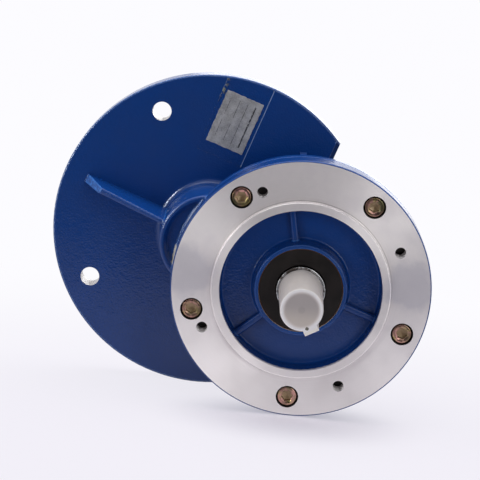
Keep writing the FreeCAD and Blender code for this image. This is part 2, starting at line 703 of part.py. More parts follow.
def flange_gasket():
    """Thin paper gasket between case and output flange."""
    ring = tube(FLANGE_DIAMETER / 2.0 - EDGE, CHAMBER_RADIUS + EDGE, FLANGE_THICKNESS, JOINT_FACE)
    holes = []
    for angle in SCREW_ANGLES:
        x, z = on_circle(SCREW_CIRCLE, angle)
        holes.append(rod((SCREW_THREAD + SCREW_GAP) / 2.0, FLANGE_THICKNESS, JOINT_FACE, x, z))
    return ring.cut(holes)


def nameplate():
    """Small bare plate on the front of the disc."""
    left = INPUT_X - PLATE_LEFT
    right = left + PLATE_WIDTH
    top = PLATE_BOTTOM + PLATE_HEIGHT
    edges = rounded_edges([
        (left, PLATE_BOTTOM, PLATE_CORNER),
        (right, PLATE_BOTTOM, PLATE_CORNER),
        (right, top, PLATE_CORNER),
        (left, top, PLATE_CORNER),
    ])
    plate = Part.Face(Part.Wire(edges)).extrude(FreeCAD.Vector(0, 0, PLATE_THICKNESS))
    plate.rotate(ORIGIN, FreeCAD.Vector(1, 0, 0), 90)
    plate.translate(FreeCAD.Vector(0, DISC_SETBACK, 0))
    return plate


def output_shaft():
    """Stepped shaft with two key seats and a tapped centre in its end."""
    end = SHAFT_DIAMETER / 2.0
    rear = OUTPUT_REAR_BORE / 2.0
    collar = JOURNAL_RADIUS + SHAFT_COLLAR_RISE
    shaft = turned([
        (0, -SHAFT_LENGTH),
        (end, -SHAFT_LENGTH, EDGE),
        (end, -SHAFT_SHOULDER),
        (JOURNAL_RADIUS, -SHAFT_SHOULDER, EDGE / 2.0),
        (JOURNAL_RADIUS, OUTPUT_FRONT_BACK),
        (collar, OUTPUT_FRONT_BACK, EDGE),
        (collar, WHEEL_FRONT, EDGE),
        (JOURNAL_RADIUS, WHEEL_FRONT),
        (JOURNAL_RADIUS, WHEEL_BACK, EDGE / 2.0),
        (rear, WHEEL_BACK),
        (rear, OUTPUT_REAR_BACK, EDGE),
        (0, OUTPUT_REAR_BACK),
    ])
    seat = end - KEY_SEAT
    key_seat = feather_key(KEY_WIDTH, seat, end + KEY_HEIGHT, *output_key_span(), KEY_ANGLE)
    gear_key_foot = JOURNAL_RADIUS - GEAR_KEY_SEAT
    gear_key_top = JOURNAL_RADIUS + GEAR_KEY_HEIGHT
    gear_seat = feather_key(GEAR_KEY_WIDTH, gear_key_foot, gear_key_top, *gear_key_span(), KEY_ANGLE)
    gear_seat = gear_seat.common(rod(collar, WHEEL_FRONT, WHEEL_BACK))
    centre = rod(SHAFT_TAP / 2.0, -SHAFT_LENGTH - EDGE, SHAFT_TAP_DEPTH - SHAFT_LENGTH)
    return shaft.cut([key_seat, gear_seat, centre])


def output_key_span():
    """Ends of the output key along the shaft."""
    start = KEY_END - SHAFT_LENGTH
    return start, start + KEY_LENGTH


def gear_key_span():
    """Ends of the gear key along the shaft."""
    middle = (WHEEL_FRONT + WHEEL_BACK) / 2.0
    return middle - GEAR_KEY_LENGTH / 2.0, middle + GEAR_KEY_LENGTH / 2.0


def output_key():
    """Key in the shaft end."""
    seat = SHAFT_DIAMETER / 2.0 - KEY_SEAT
    start, end = output_key_span()
    width = KEY_WIDTH - 2.0 * SEAT_GAP
    return feather_key(width, seat, seat + KEY_HEIGHT, start + SEAT_GAP, end - SEAT_GAP, KEY_ANGLE)


def gear_key():
    """Key between shaft and wheel."""
    seat = JOURNAL_RADIUS - GEAR_KEY_SEAT
    start, end = gear_key_span()
    width = GEAR_KEY_WIDTH - 2.0 * SEAT_GAP
    return feather_key(width, seat, seat + GEAR_KEY_HEIGHT, start + SEAT_GAP, end - SEAT_GAP, KEY_ANGLE)


def output_gear():
    """Helical wheel with a thin web, a hub and a keyed bore."""
    gap_at_pinion = math.pi + math.pi / WHEEL_TEETH
    wheel = helical_teeth(WHEEL_TEETH, WHEEL_FRONT, WHEEL_BACK, -1.0, gap_at_pinion, 2)
    bore = JOURNAL_RADIUS + SEAT_GAP
    hub = bore + WHEEL_HUB_WALL
    rim = WHEEL_TIP - 2.25 * MODULE - WHEEL_RIM
    sink = (WHEEL_WIDTH - WHEEL_WEB) / 2.0
    key_top = JOURNAL_RADIUS - GEAR_KEY_SEAT + GEAR_KEY_HEIGHT + RUN_GAP
    half = GEAR_KEY_WIDTH / 2.0
    keyway = swung(box((0, key_top), (WHEEL_FRONT, WHEEL_BACK), (-half, half)), KEY_ANGLE)
    cuts = [
        rod(bore, WHEEL_FRONT, WHEEL_BACK),
        tube(rim, hub, WHEEL_FRONT, WHEEL_FRONT + sink),
        tube(rim, hub, WHEEL_BACK - sink, WHEEL_BACK),
        keyway,
    ]
    return wheel.cut(cuts)


def gear_spacer():
    """Ring between wheel and rear bearing."""
    inner = OUTPUT_REAR_BORE / 2.0
    outer = inner + RING_SHARE * (OUTPUT_REAR_OUTER - OUTPUT_REAR_BORE) / 2.0
    reach = max(outer, JOURNAL_RADIUS + 2.0 * EDGE)
    return turned([
        (inner + SEAT_GAP, WHEEL_BACK),
        (reach, WHEEL_BACK),
        (reach, CHAMBER_FLOOR - SIDE_GAP),
        (outer, OUTPUT_REAR_FRONT),
        (inner + SEAT_GAP, OUTPUT_REAR_FRONT),
    ])


def input_pinion():
    """Helical pinion in one piece with its hollow, keyed shaft."""
    teeth = helical_teeth(PINION_TEETH, PINION_FRONT, PINION_BACK, 1.0, 0.0, 3, INPUT_X)
    front = INPUT_FRONT_BORE / 2.0
    rear = INPUT_REAR_BORE / 2.0
    shoulder_front = front + RING_SHARE * (INPUT_FRONT_OUTER - INPUT_FRONT_BORE) / 2.0
    shoulder_rear = rear + RING_SHARE * (INPUT_REAR_OUTER - INPUT_REAR_BORE) / 2.0
    rear_end = RECESS_FLOOR - BORE_REACH
    blank = turned([
        (0, INPUT_FRONT_FRONT),
        (front, INPUT_FRONT_FRONT, EDGE),
        (front, INPUT_FRONT_BACK),
        (shoulder_front, INPUT_FRONT_BACK),
        (shoulder_front, PINION_FRONT),
        (front, PINION_FRONT),
        (front, PINION_BACK),
        (shoulder_rear, PINION_BACK),
        (shoulder_rear, INPUT_REAR_FRONT),
        (rear, INPUT_REAR_FRONT),
        (rear, CIRCLIP_FRONT),
        (rear - CIRCLIP_GROOVE, CIRCLIP_FRONT),
        (rear - CIRCLIP_GROOVE, CIRCLIP_BACK),
        (rear, CIRCLIP_BACK),
        (rear, rear_end, EDGE),
        (0, rear_end),
    ], INPUT_X)
    half = INPUT_KEY_WIDTH / 2.0
    bore = INPUT_BORE / 2.0
    key_top = INPUT_X + bore + INPUT_KEY_RISE
    keyway = box((INPUT_X, key_top), (INPUT_FRONT_FRONT, rear_end), (-half, half))
    keyway = swung(keyway, 180.0 / PINION_TEETH, INPUT_X)
    return merged([teeth, blank]).cut([rod(bore, INPUT_FRONT_FRONT, rear_end, INPUT_X), keyway])


def shaft_cap():
    """Thin plastic sleeve over the shaft end, closed in front, with a bump over the key."""
    base = SHAFT_DIAMETER / 2.0 + CAP_BASE_ROOM
    tip = SHAFT_DIAMETER / 2.0 + CAP_TIP_ROOM
    foot = -SHAFT_SHOULDER - CAP_FOOT
    inner_end = -SHAFT_LENGTH - CAP_END_ROOM
    outer_end = inner_end - CAP_WALL
    key_top = SHAFT_DIAMETER / 2.0 - KEY_SEAT + KEY_HEIGHT + CAP_TIP_ROOM
    half = KEY_WIDTH / 2.0 + CAP_TIP_ROOM / 2.0

    def sleeve(extra, end, start):
        return turned([
            (0, end),
            (tip + extra, end, EDGE),
            (base + extra, start),
            (0, start),
        ])

    def bump(extra, end, start):
        return swung(box((0, key_top + extra), (end, start), (-half - extra, half + extra)), KEY_ANGLE)

    outside = merged([sleeve(CAP_WALL, outer_end, foot), bump(CAP_WALL, outer_end, foot)])
    inside = sleeve(0.0, inner_end, foot).fuse(bump(0.0, inner_end, foot))
    return outside.cut(inside)


def case_circlip():
    """Spring ring in the case behind the rear input bearing."""
    outer = INPUT_REAR_OUTER / 2.0 + CIRCLIP_GROOVE - RUN_GAP
    start = CIRCLIP_FRONT + SEAT_GAP
    return circlip(outer - CIRCLIP_WIDTH, outer, start, CIRCLIP_BACK - SEAT_GAP, 180.0, INPUT_X)


def pinion_circlip():
    """Spring ring on the pinion shaft behind the rear input bearing."""
    inner = INPUT_REAR_BORE / 2.0 - CIRCLIP_GROOVE + RUN_GAP
    start = CIRCLIP_FRONT + SEAT_GAP
    return circlip(inner, inner + 0.8 * CIRCLIP_WIDTH, start, CIRCLIP_BACK - SEAT_GAP, 0.0, INPUT_X)


def all_pieces():
    """Every node by name, drawn level."""
    pieces = {
        "gear_case": gear_case(),
        "output_flange": output_flange(),
        "flange_gasket": flange_gasket(),
        "flange_screws": flange_screws(),
        "nameplate": nameplate(),
        "output_oil_seal": oil_seal(OUTPUT_SEAL_OUTER, OUTPUT_FRONT_BORE, OUTPUT_SEAL_WIDTH, 0.0, 1.0),
        "input_oil_seal": oil_seal(INPUT_REAR_OUTER, INPUT_REAR_BORE, INPUT_SEAL_WIDTH,
                                   INPUT_SEAL_FRONT, -1.0, INPUT_X),
        "case_circlip": case_circlip(),
        "output_shaft": output_shaft(),
        "output_key": output_key(),
        "output_gear": output_gear(),
        "gear_key": gear_key(),
        "gear_spacer": gear_spacer(),
        "input_pinion": input_pinion(),
        "pinion_circlip": pinion_circlip(),
        "shaft_cap": shaft_cap(),
    }
    pieces.update(bearing("output_front", OUTPUT_FRONT_BORE, OUTPUT_FRONT_OUTER, OUTPUT_FRONT_WIDTH,
                          OUTPUT_FRONT_FRONT, OUTPUT_FRONT_BALLS))
    pieces.update(bearing("output_rear", OUTPUT_REAR_BORE, OUTPUT_REAR_OUTER, OUTPUT_REAR_WIDTH,
                          OUTPUT_REAR_FRONT, OUTPUT_REAR_BALLS))
    pieces.update(bearing("input_front", INPUT_FRONT_BORE, INPUT_FRONT_OUTER, INPUT_FRONT_WIDTH,
                          INPUT_FRONT_FRONT, INPUT_FRONT_BALLS, INPUT_X))
    pieces.update(bearing("input_rear", INPUT_REAR_BORE, INPUT_REAR_OUTER, INPUT_REAR_WIDTH,
                          INPUT_REAR_FRONT, INPUT_REAR_BALLS, INPUT_X))
    return pieces


def main():
    """Stand the assembly on its rims and write one file for each node."""
    os.makedirs("parts", exist_ok=True)
    for name, shape in all_pieces().items():
        shape.rotate(ORIGIN, ALONG, STANDING_ROLL)
        shape.exportStep("parts/" + name + ".step")


main()
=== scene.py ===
import json
import math
import random
from functools import cache

import bmesh
import bpy
from bpy.props import FloatProperty, FloatVectorProperty, IntProperty, PointerProperty
from mathutils import Matrix, Quaternion, Vector


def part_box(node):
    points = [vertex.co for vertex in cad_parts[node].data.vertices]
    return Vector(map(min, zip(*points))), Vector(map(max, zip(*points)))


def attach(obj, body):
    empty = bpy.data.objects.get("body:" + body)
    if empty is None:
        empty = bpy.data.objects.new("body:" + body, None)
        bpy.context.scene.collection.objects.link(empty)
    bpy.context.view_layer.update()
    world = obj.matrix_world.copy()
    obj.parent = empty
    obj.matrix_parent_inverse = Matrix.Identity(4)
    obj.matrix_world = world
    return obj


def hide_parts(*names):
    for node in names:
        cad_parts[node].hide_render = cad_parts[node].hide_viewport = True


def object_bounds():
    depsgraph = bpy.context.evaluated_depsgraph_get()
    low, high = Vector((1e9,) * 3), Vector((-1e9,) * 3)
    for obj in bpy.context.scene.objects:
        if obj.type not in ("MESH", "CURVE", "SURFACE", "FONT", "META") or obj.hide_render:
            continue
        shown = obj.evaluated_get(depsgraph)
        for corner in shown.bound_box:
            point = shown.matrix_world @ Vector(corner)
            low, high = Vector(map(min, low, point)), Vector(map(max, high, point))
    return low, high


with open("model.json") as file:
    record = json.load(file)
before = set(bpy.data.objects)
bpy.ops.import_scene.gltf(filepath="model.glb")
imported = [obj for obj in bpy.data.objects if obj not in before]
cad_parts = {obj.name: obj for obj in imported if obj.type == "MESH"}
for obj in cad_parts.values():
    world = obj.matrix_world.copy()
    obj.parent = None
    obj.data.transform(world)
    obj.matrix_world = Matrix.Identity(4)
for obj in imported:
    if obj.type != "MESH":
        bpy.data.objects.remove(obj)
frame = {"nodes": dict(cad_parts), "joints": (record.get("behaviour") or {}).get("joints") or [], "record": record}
CAD_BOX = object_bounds()

bl_info = {
    "name": "Helical gear reducer",
    "version": (1, 0, 0),
    "blender": (4, 5, 0),
    "location": "3D View > Sidebar > Reducer",
    "description": "Finishes, fasteners, threads and plate of a flange-mounted helical gear reducer",
    "category": "Object",
}

MM = 0.001
TURN = 2.0 * math.pi
NODES = frame["nodes"]
JOINTS = {joint["name"]: joint for joint in frame["joints"]}
MOUNTS = {mount["name"]: mount for mount in frame["record"]["mounts"]}
INPUT_AXIS = Vector(JOINTS["input_spin"]["pos_m"])
# The case stands rolled about the output axis; level places are those before the roll.
ROLL = math.atan2(INPUT_AXIS.z, -INPUT_AXIS.x)
INPUT_OFFSET = math.hypot(INPUT_AXIS.x, INPUT_AXIS.z)
FLOOR_LEVEL = CAD_BOX[0].z
DISC_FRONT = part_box("nameplate")[1].y
PLATE_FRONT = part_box("nameplate")[0].y
CAP_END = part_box("shaft_cap")[0].y
CAP_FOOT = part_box("shaft_cap")[1].y
SEAL_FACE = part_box("output_oil_seal")[0].y
JOINT_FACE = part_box("flange_gasket")[1].y
FLANGE_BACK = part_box("flange_gasket")[0].y
MOTOR_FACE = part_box("gear_case")[1].y
SCREW_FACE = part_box("flange_screws")[0].y
SCREW_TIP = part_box("flange_screws")[1].y
SHAFT_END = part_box("output_shaft")[0].y
# From the input axis to the disc's straight cut and to the foot of the rib's end, in millimetres.
CUT_EDGE = 53.0
RIB_FOOT = 86.0
RIB_LEAN = 12.0 / 21.5
# Darker patches on the turned ring, one at its right and one at its left: x, z and reach in millimetres, and
# strength.
DARK_PATCHES = ((66.5, 8.0, 17.0, 0.62), (-70.0, 6.0, 17.0, 0.55))
# Ruled lines on the plate: place across it, lower end, upper end and half width in millimetres.
RULES = ((4.2, 5.0, 16.0, 0.13), (4.2, 20.0, 31.0, 0.13), (10.2, 4.0, 15.5, 0.13),
         (10.2, 19.5, 31.5, 0.13), (15.6, 4.0, 31.5, 0.13), (20.8, 3.5, 31.5, 0.5))
# Linear colours of marks and worn places, and of painted highlights, painted light and painted shade.
ZINC_DIRT = (0.075, 0.06, 0.04)
ZINC_EDGE_HIGHLIGHT = (0.80, 0.68, 0.50)
ZINC_SOCKET_LIGHT = (0.44, 0.31, 0.17)
RUBBER_SCUFF = (0.06, 0.055, 0.05)
SHAFT_GRIME = (0.05, 0.03, 0.02)
CAP_EDGE_HIGHLIGHT = (0.97, 0.96, 0.95)
CAP_LIP_LIGHT = (0.95, 0.94, 0.93)
CAP_SHADE_HIGH = (0.30, 0.275, 0.27)
CAP_SHADE_LOW = (0.53, 0.475, 0.41)
CAP_TAB = (0.95, 0.88, 0.77)
CAP_PIP = (0.30, 0.27, 0.27)
CAP_GATE = (0.15, 0.14, 0.11)
FILM_CLEAR = (0.03, 0.05, 0.14)
FILM_EDGE_HIGHLIGHT = (0.34, 0.52, 0.88)
FILM_GLUE = (0.36, 0.40, 0.32)
GASKET_OIL = (0.16, 0.13, 0.09)
COOL_WHITE = (0.78, 0.88, 1.0)
CARD_GREY = (0.10, 0.10, 0.11)


def from_level(x, y, z):
    """Rolled place of a level place, in metres."""
    across = x * math.cos(ROLL) + z * math.sin(ROLL)
    upward = z * math.cos(ROLL) - x * math.sin(ROLL)
    return Vector((across, y, upward))


def length(name, description, default):
    """A size in metres, given in millimetres."""
    return FloatProperty(name=name, description=description, default=default * MM, min=0.0, precision=5,
                         unit="LENGTH")


def colour(name, description, default):
    """A linear colour."""
    return FloatVectorProperty(name=name, description=description, default=default, size=3, min=0.0, max=1.0,
                               subtype="COLOR")


def degrees(name, description, default):
    """An angle given in degrees."""
    return FloatProperty(name=name, description=description, default=math.radians(default), subtype="ANGLE")


def power(name, description, default):
    """A lamp's power in watts."""
    return FloatProperty(name=name, description=description, default=default, unit="POWER")


class ReducerFinishes(bpy.types.PropertyGroup):
    """Colours of the paint, the metals, the rubber and the plastic."""

    paint: colour("Paint", "Blue enamel on the castings", (0.0045, 0.0455, 0.218))
    # The pale blue below is a painted highlight, laid on the castings' edges and, in specks, on the lit end of the
    # rib; it is not thin paint.
    paint_edge_highlight: colour("Thin paint", "Enamel where it runs thin over an edge", (0.035, 0.185, 0.60))
    # The pale blue below is a painted highlight along the rim of the disc, not paint rubbed pale.
    paint_rim_highlight: colour("Rim paint", "Enamel rubbed pale along the rim of the disc", (0.30, 0.48, 0.80))
    turned_metal: colour("Turned metal", "Bare turned aluminium", (0.975, 0.928, 0.920))
    raw_casting: colour("Raw casting", "Unpainted cast aluminium", (0.44, 0.41, 0.36))
    drilled_metal: colour("Drilled metal", "Bright walls of the motor holes", (0.86, 0.83, 0.80))
    zinc_gold: colour("Zinc gold", "Yellow zinc on the screws", (0.36, 0.29, 0.12))
    zinc_rose: colour("Zinc rose", "Pink tint of the zinc", (0.52, 0.27, 0.24))
    zinc_green: colour("Zinc green", "Green tint of the zinc", (0.16, 0.15, 0.075))
    rubber: colour("Rubber", "Seal rubber", (0.008, 0.0062, 0.0058))
    seal_case: colour("Seal case", "Lacquered edge of the seal", (0.075, 0.032, 0.015))
    cap_plastic: colour("Cap plastic", "Milky polyethylene", (0.82, 0.75, 0.71))
    plate: colour("Plate", "Grey foil of the plate", (0.47, 0.47, 0.475))
    ink: colour("Ink", "Ruled lines on the plate", (0.03, 0.03, 0.035))
    ground_steel: colour("Ground steel", "Shaft, keys and spacer", (0.56, 0.56, 0.57))
    gear_steel: colour("Gear steel", "Hardened teeth", (0.40, 0.385, 0.37))
    bearing_steel: colour("Bearing steel", "Polished rings and balls", (0.68, 0.68, 0.69))
    cage_steel: colour("Cage steel", "Pressed cages", (0.50, 0.47, 0.42))
    spring_steel: colour("Spring steel", "Blackened circlips", (0.045, 0.045, 0.05))
    gasket: colour("Gasket", "Pressed paper", (0.42, 0.35, 0.24))


class ReducerScrews(bpy.types.PropertyGroup):
    """Socket head cap screws of the output flange."""

    circle: length("Circle radius", "Radius of the screw circle", 68.0)
    step: degrees("Step", "Angle from one screw to the next", 73.0)
    count: IntProperty(name="Count", description="Number of screws", default=5, min=1)
    head: length("Head radius", "Radius of the head", 6.5)
    head_height: length("Head height", "Height of the head", 8.0)
    shank: length("Thread radius", "Outer radius of the thread", 3.95)
    pitch: length("Pitch", "Thread pitch", 1.25)
    hexagon: length("Hexagon", "Width across the flats of the socket", 6.0)
    socket_depth: length("Socket depth", "Depth of the socket", 4.0)
    knurls: IntProperty(name="Knurls", description="Ridges round the head", default=36, min=6)


class ReducerThreads(bpy.types.PropertyGroup):
    """Threads in the tapped holes."""

    fine_pitch: length("Flange pitch", "Pitch of the flange and shaft threads", 1.25)
    coarse_pitch: length("Motor pitch", "Pitch of the motor side threads", 1.5)
    height: length("Thread height", "How far a ridge stands into the hole", 0.18)
    flange_depth: length("Flange depth", "Threaded depth in the flange", 12.0)
    motor_depth: length("Motor depth", "Threaded depth in the lugs", 20.0)
    shaft_depth: length("Shaft depth", "Threaded depth in the shaft end", 16.0)


class ReducerPlate(bpy.types.PropertyGroup):
    """Plate on the disc and the clear film over it."""

    left: length("Plate left", "From the input axis to the plate's left edge", 26.0)
    bottom: length("Plate bottom", "From the input axis up to the plate", 53.0)
    width: length("Plate width", "Width of the plate", 25.0)
    height: length("Plate height", "Height of the plate", 35.0)
    ragged: length("Ragged edge", "How uneven the cut edge is", 0.22)
    film_left: length("Film left", "From the input axis to the film's left edge", 29.0)
    film_bottom: length("Film bottom", "From the input axis up to the film", 45.7)
    film_width: length("Film width", "Width of the film", 30.5)
    film_reach: length("Film reach", "How far from the input axis the film reaches", 98.6)


class ReducerStage(bpy.types.PropertyGroup):
    """Camera, lamps and floor."""

    camera_place: FloatVectorProperty(name="Camera place", description="Where the camera stands",
                                      default=(-0.03808, -1.1439, 0.26178), size=3, subtype="TRANSLATION")
    camera_pitch: degrees("Camera pitch", "How far the camera looks down", 11.51)
    camera_yaw: degrees("Camera yaw", "How far the camera looks to the right", -1.18)
    camera_roll: degrees("Camera roll", "Turn of the picture", 5.34)
    lens: FloatProperty(name="Lens", description="Focal length", default=144.0, unit="CAMERA")
    floor: colour("Floor", "Pale floor", (0.90, 0.868, 0.985))
    floor_tint: colour("Floor tint", "White of the floor close to the part", (0.955, 0.935, 1.0))
    floor_glow: FloatProperty(name="Floor glow", description="How far the floor takes the surround's white",
                              default=0.80, min=0.0, max=1.0)
    surround: colour("Surround", "Background", (0.975, 0.97, 1.0))
    fill: FloatProperty(name="Fill", description="Light from the surround", default=0.22, min=0.0)
    top_power: power("Top lamp", "Lamp overhead", 7.2)
    crown_power: power("Crown lamp", "Lamp straight above, which gloss does not see", 8.5)
    spark_power: power("Bright lamp", "Narrow bright lamp", 18.0)
    left_power: power("Left lamp", "Lamp on the left", 2.95)
    back_power: power("Back lamp", "Lamp behind, which only gloss sees", 2.9)
    right_power: power("Right lamp", "Lamp on the right", 2.5)


class Graph:
    """Adds and joins the nodes of one tree."""

    def __init__(self, tree):
        self.tree = tree

    def add(self, kind, inputs=None, **settings):
        node = self.tree.nodes.new(kind)
        for name, value in settings.items():
            setattr(node, name, value)
        for name, value in (inputs or {}).items():
            self.feed(node.inputs[name], value)
        return node

    def feed(self, socket, value):
        if isinstance(value, bpy.types.NodeSocket):
            self.tree.links.new(value, socket)
        else:
            socket.default_value = value

    def place(self):
        return self.add("ShaderNodeTexCoord").outputs["Object"]

    def parts(self, vector):
        return self.add("ShaderNodeSeparateXYZ", {0: vector}).outputs

    def measure(self, operation, *vectors):
        """Length, distance or dot product."""
        inputs = dict(enumerate(vectors))
        return self.add("ShaderNodeVectorMath", inputs, operation=operation).outputs["Value"]

    def math(self, operation, first, second=0.0):
        return self.add("ShaderNodeMath", {0: first, 1: second}, operation=operation).outputs[0]

    def every(self, found, *others):
        """Product of values: the mask of what lies in all of them."""
        for other in others:
            found = self.math("MULTIPLY", found, other)
        return found

    def any(self, found, *others):
        """Greatest of values: the mask of what lies in at least one of them."""
        for other in others:
            found = self.math("MAXIMUM", found, other)
        return found

    def layers(self, base, *layers):
        """Colours over a base, each followed by its masks; a number is a shade of the base."""
        found = rgba(base)
        for layer, *masks in layers:
            if isinstance(layer, float):
                layer = scaled(base, layer)
            inputs = {0: self.every(*masks), 6: found, 7: rgba(layer)}
            found = self.add("ShaderNodeMix", inputs, data_type="RGBA").outputs[2]
        return found

    def blend(self, mask, first, second):
        """Value between a first and a second."""
        return self.add("ShaderNodeMix", {0: mask, 2: first, 3: second}, data_type="FLOAT").outputs[0]

    def step(self, value, low, high, start=0.0, end=1.0):
        """Smooth change from start to end as a value goes from low to high."""
        inputs = {0: value, 1: low, 2: high, 3: start, 4: end}
        return self.add("ShaderNodeMapRange", inputs, interpolation_type="SMOOTHSTEP").outputs[0]

    def within(self, *limits):
        """Mask inside all limits: a value, its low and high end or None, and half its soft edge, in mm."""
        masks = []
        for value, low, high, soft in limits:
            for end, side in ((low, soft), (high, -soft)):
                if end is not None:
                    masks.append(self.step(value, (end - side) * MM, (end + side) * MM))
        return self.every(*masks)

    def noise(self, vector, scale, detail=2.0):
        inputs = {"Vector": vector, "Scale": scale, "Detail": detail}
        return self.add("ShaderNodeTexNoise", inputs).outputs[0]

    def bump(self, height, distance, strength, normal=None):
        inputs = {"Height": height, "Distance": distance, "Strength": strength}
        if normal is not None:
            inputs["Normal"] = normal
        return self.add("ShaderNodeBump", inputs).outputs[0]

    def effect(self, name, **inputs):
        """Outputs of a shared effect."""
        return self.add("ShaderNodeGroup", inputs, node_tree=effect_tree(name)).outputs

    def seen(self):
        """Kinds of light path, and the mask of those that look at a thing instead of being lit by it."""
        path = self.add("ShaderNodeLightPath").outputs
        return path, self.any(path["Is Camera Ray"], path["Is Glossy Ray"], path["Is Transmission Ray"])


class MaterialGraph(Graph):
    """Tree of a new material."""

    def __init__(self, name):
        self.material = bpy.data.materials.new(name)
        self.material.use_nodes = True
        super().__init__(self.material.node_tree)
        self.shader = self.tree.nodes["Principled BSDF"]

    def finish(self, values):
        """Feeds the surface shader by socket name and hands over the material."""
        for name, value in values.items():
            self.feed(self.shader.inputs[name], value)
        return self.material


def rgba(value):
    """A four-part colour from a three-part one; sockets pass through."""
    if isinstance(value, bpy.types.NodeSocket):
        return value
    return (value[0], value[1], value[2], 1.0)


def scaled(tint, *shades):
    """A colour times one factor, or times one for each part."""
    if len(shades) == 1:
        shades = shades * 3
    return [min(1.0, part * shade) for part, shade in zip(tint, shades)]


def level_place(graph, _):
    """Where a point is on the casting: level x and z, depth y, and distance from either axis."""
    place = graph.place()
    x = graph.measure("DOT_PRODUCT", place, (math.cos(ROLL), 0.0, -math.sin(ROLL)))
    z = graph.measure("DOT_PRODUCT", place, (math.sin(ROLL), 0.0, math.cos(ROLL)))
    found = {"X": x, "Y": graph.parts(place)["Y"], "Z": z}
    for label, offset in (("Output Radius", 0.0), ("Input Radius", INPUT_OFFSET)):
        flat = graph.add("ShaderNodeCombineXYZ", {"X": graph.math("ADD", x, offset), "Z": z}).outputs[0]
        found[label] = graph.measure("LENGTH", flat)
    return found


def cast_skin(graph, _):
    """Pebbled skin of a painted casting, and the slow changes of its gloss."""
    place = graph.place()
    inputs = {"Vector": place, "Scale": 900.0, "Smoothness": 0.6}
    cells = graph.add("ShaderNodeTexVoronoi", inputs, feature="SMOOTH_F1").outputs["Distance"]
    height = graph.math("ADD", graph.every(cells, 0.6), graph.noise(place, 260.0, 3.0))
    return {"Height": height, "Patches": graph.step(graph.noise(place, 34.0, 4.0), 0.3, 0.7)}


def soft_edges(graph, given):
    """Mask of the outer edges, and the normal that rounds them."""
    rounded = graph.add("ShaderNodeBevel", {"Radius": given["Radius"]}, samples=6).outputs[0]
    flat = graph.add("ShaderNodeNewGeometry").outputs["Normal"]
    edge = graph.step(graph.measure("DOT_PRODUCT", rounded, flat), 0.995, 0.86)
    return {"Edge": edge, "Normal": rounded}


def turned_rings(graph, given):
    """Fine rings left by a lathe tool, by distance from the axis."""
    turns = graph.math("DIVIDE", given["Radius"], given["Pitch"])
    wave = graph.math("SINE", graph.every(turns, TURN))
    inputs = {"W": graph.every(given["Radius"], 900.0), "Scale": 1.0}
    uneven = graph.add("ShaderNodeTexNoise", inputs, noise_dimensions="1D").outputs[0]
    return {"Height": graph.math("ADD", graph.every(wave, 0.5), uneven), "Bands": uneven}


def smudges(graph, given):
    """Handling marks: broad cloudy patches and short fine scratches."""
    place = graph.place()
    inputs = {"Vector": place, "Rotation": (0.0, 0.6, 0.0), "Scale": (40.0, 40.0, 900.0)}
    drawn = graph.add("ShaderNodeMapping", inputs).outputs[0]
    return {"Clouds": graph.step(graph.noise(place, given["Size"], 5.0), 0.35, 0.68),
            "Scratches": graph.step(graph.noise(drawn, 1.0), 0.66, 0.74)}


# Shared shader effects: what fills the node group, and its inputs with their defaults.
EFFECTS = {
    "place": (level_place, {}),
    "skin": (cast_skin, {}),
    "edge": (soft_edges, {"Radius": 0.8 * MM}),
    "turned": (turned_rings, {"Radius": 0.0, "Pitch": 0.3 * MM}),
    "smudge": (smudges, {"Size": 60.0}),
}


@cache
def effect_tree(name):
    """Node group of a shared effect; its outputs are floats, or a vector if called Normal."""
    fill, inputs = EFFECTS[name]
    tree = bpy.data.node_groups.new(name, "ShaderNodeTree")
    for label, default in inputs.items():
        socket = tree.interface.new_socket(label, in_out="INPUT", socket_type="NodeSocketFloat")
        socket.default_value = default
    graph = Graph(tree)
    made = fill(graph, graph.add("NodeGroupInput").outputs)
    for label in made:
        kind = "NodeSocketVector" if label == "Normal" else "NodeSocketFloat"
        tree.interface.new_socket(label, in_out="OUTPUT", socket_type=kind)
    graph.add("NodeGroupOutput", made)
    return tree


@cache
def ring_tree():
    """Geometry tree that sets copies of a shape on a circle about an axis along Y."""
    tree = bpy.data.node_groups.new("Ring of pieces", "GeometryNodeTree")
    for label, kind in (("Geometry", "Geometry"), ("Count", "Int"), ("Radius", "Float"), ("First", "Float"),
                        ("Step", "Float"), ("Spin", "Float"), ("Centre", "Vector"), ("Finish", "Material")):
        tree.interface.new_socket(label, in_out="INPUT", socket_type="NodeSocket" + kind)
    tree.interface.new_socket("Geometry", in_out="OUTPUT", socket_type="NodeSocketGeometry")
    graph = Graph(tree)
    given = graph.add("NodeGroupInput").outputs
    index = graph.add("GeometryNodeInputIndex").outputs[0]
    angle = graph.math("ADD", graph.every(index, given["Step"]), given["First"])
    across = graph.every(graph.math("COSINE", angle), given["Radius"])
    upward = graph.every(graph.math("SINE", angle), given["Radius"])
    offset = graph.add("ShaderNodeCombineXYZ", {"X": across, "Z": upward}).outputs[0]
    place = graph.add("ShaderNodeVectorMath", {0: offset, 1: given["Centre"]}, operation="ADD").outputs[0]
    rotation = graph.add("ShaderNodeCombineXYZ", {"Y": graph.every(index, given["Spin"])}).outputs[0]
    points = graph.add("GeometryNodePoints", {"Count": given["Count"], "Position": place}).outputs[0]
    inputs = {"Points": points, "Instance": given["Geometry"], "Rotation": rotation}
    copies = graph.add("GeometryNodeInstanceOnPoints", inputs).outputs[0]
    real = graph.add("GeometryNodeRealizeInstances", {"Geometry": copies}).outputs[0]
    inputs = {"Geometry": real, "Material": given["Finish"]}
    graph.add("NodeGroupOutput", {0: graph.add("GeometryNodeSetMaterial", inputs).outputs[0]})
    return tree


# Parts of a casting that only one of the two castings has.
NO_ZONES = dict.fromkeys(("raw", "painted_shade", "rim", "matt", "dark_patches", "drilled", "thin"), 0.0)


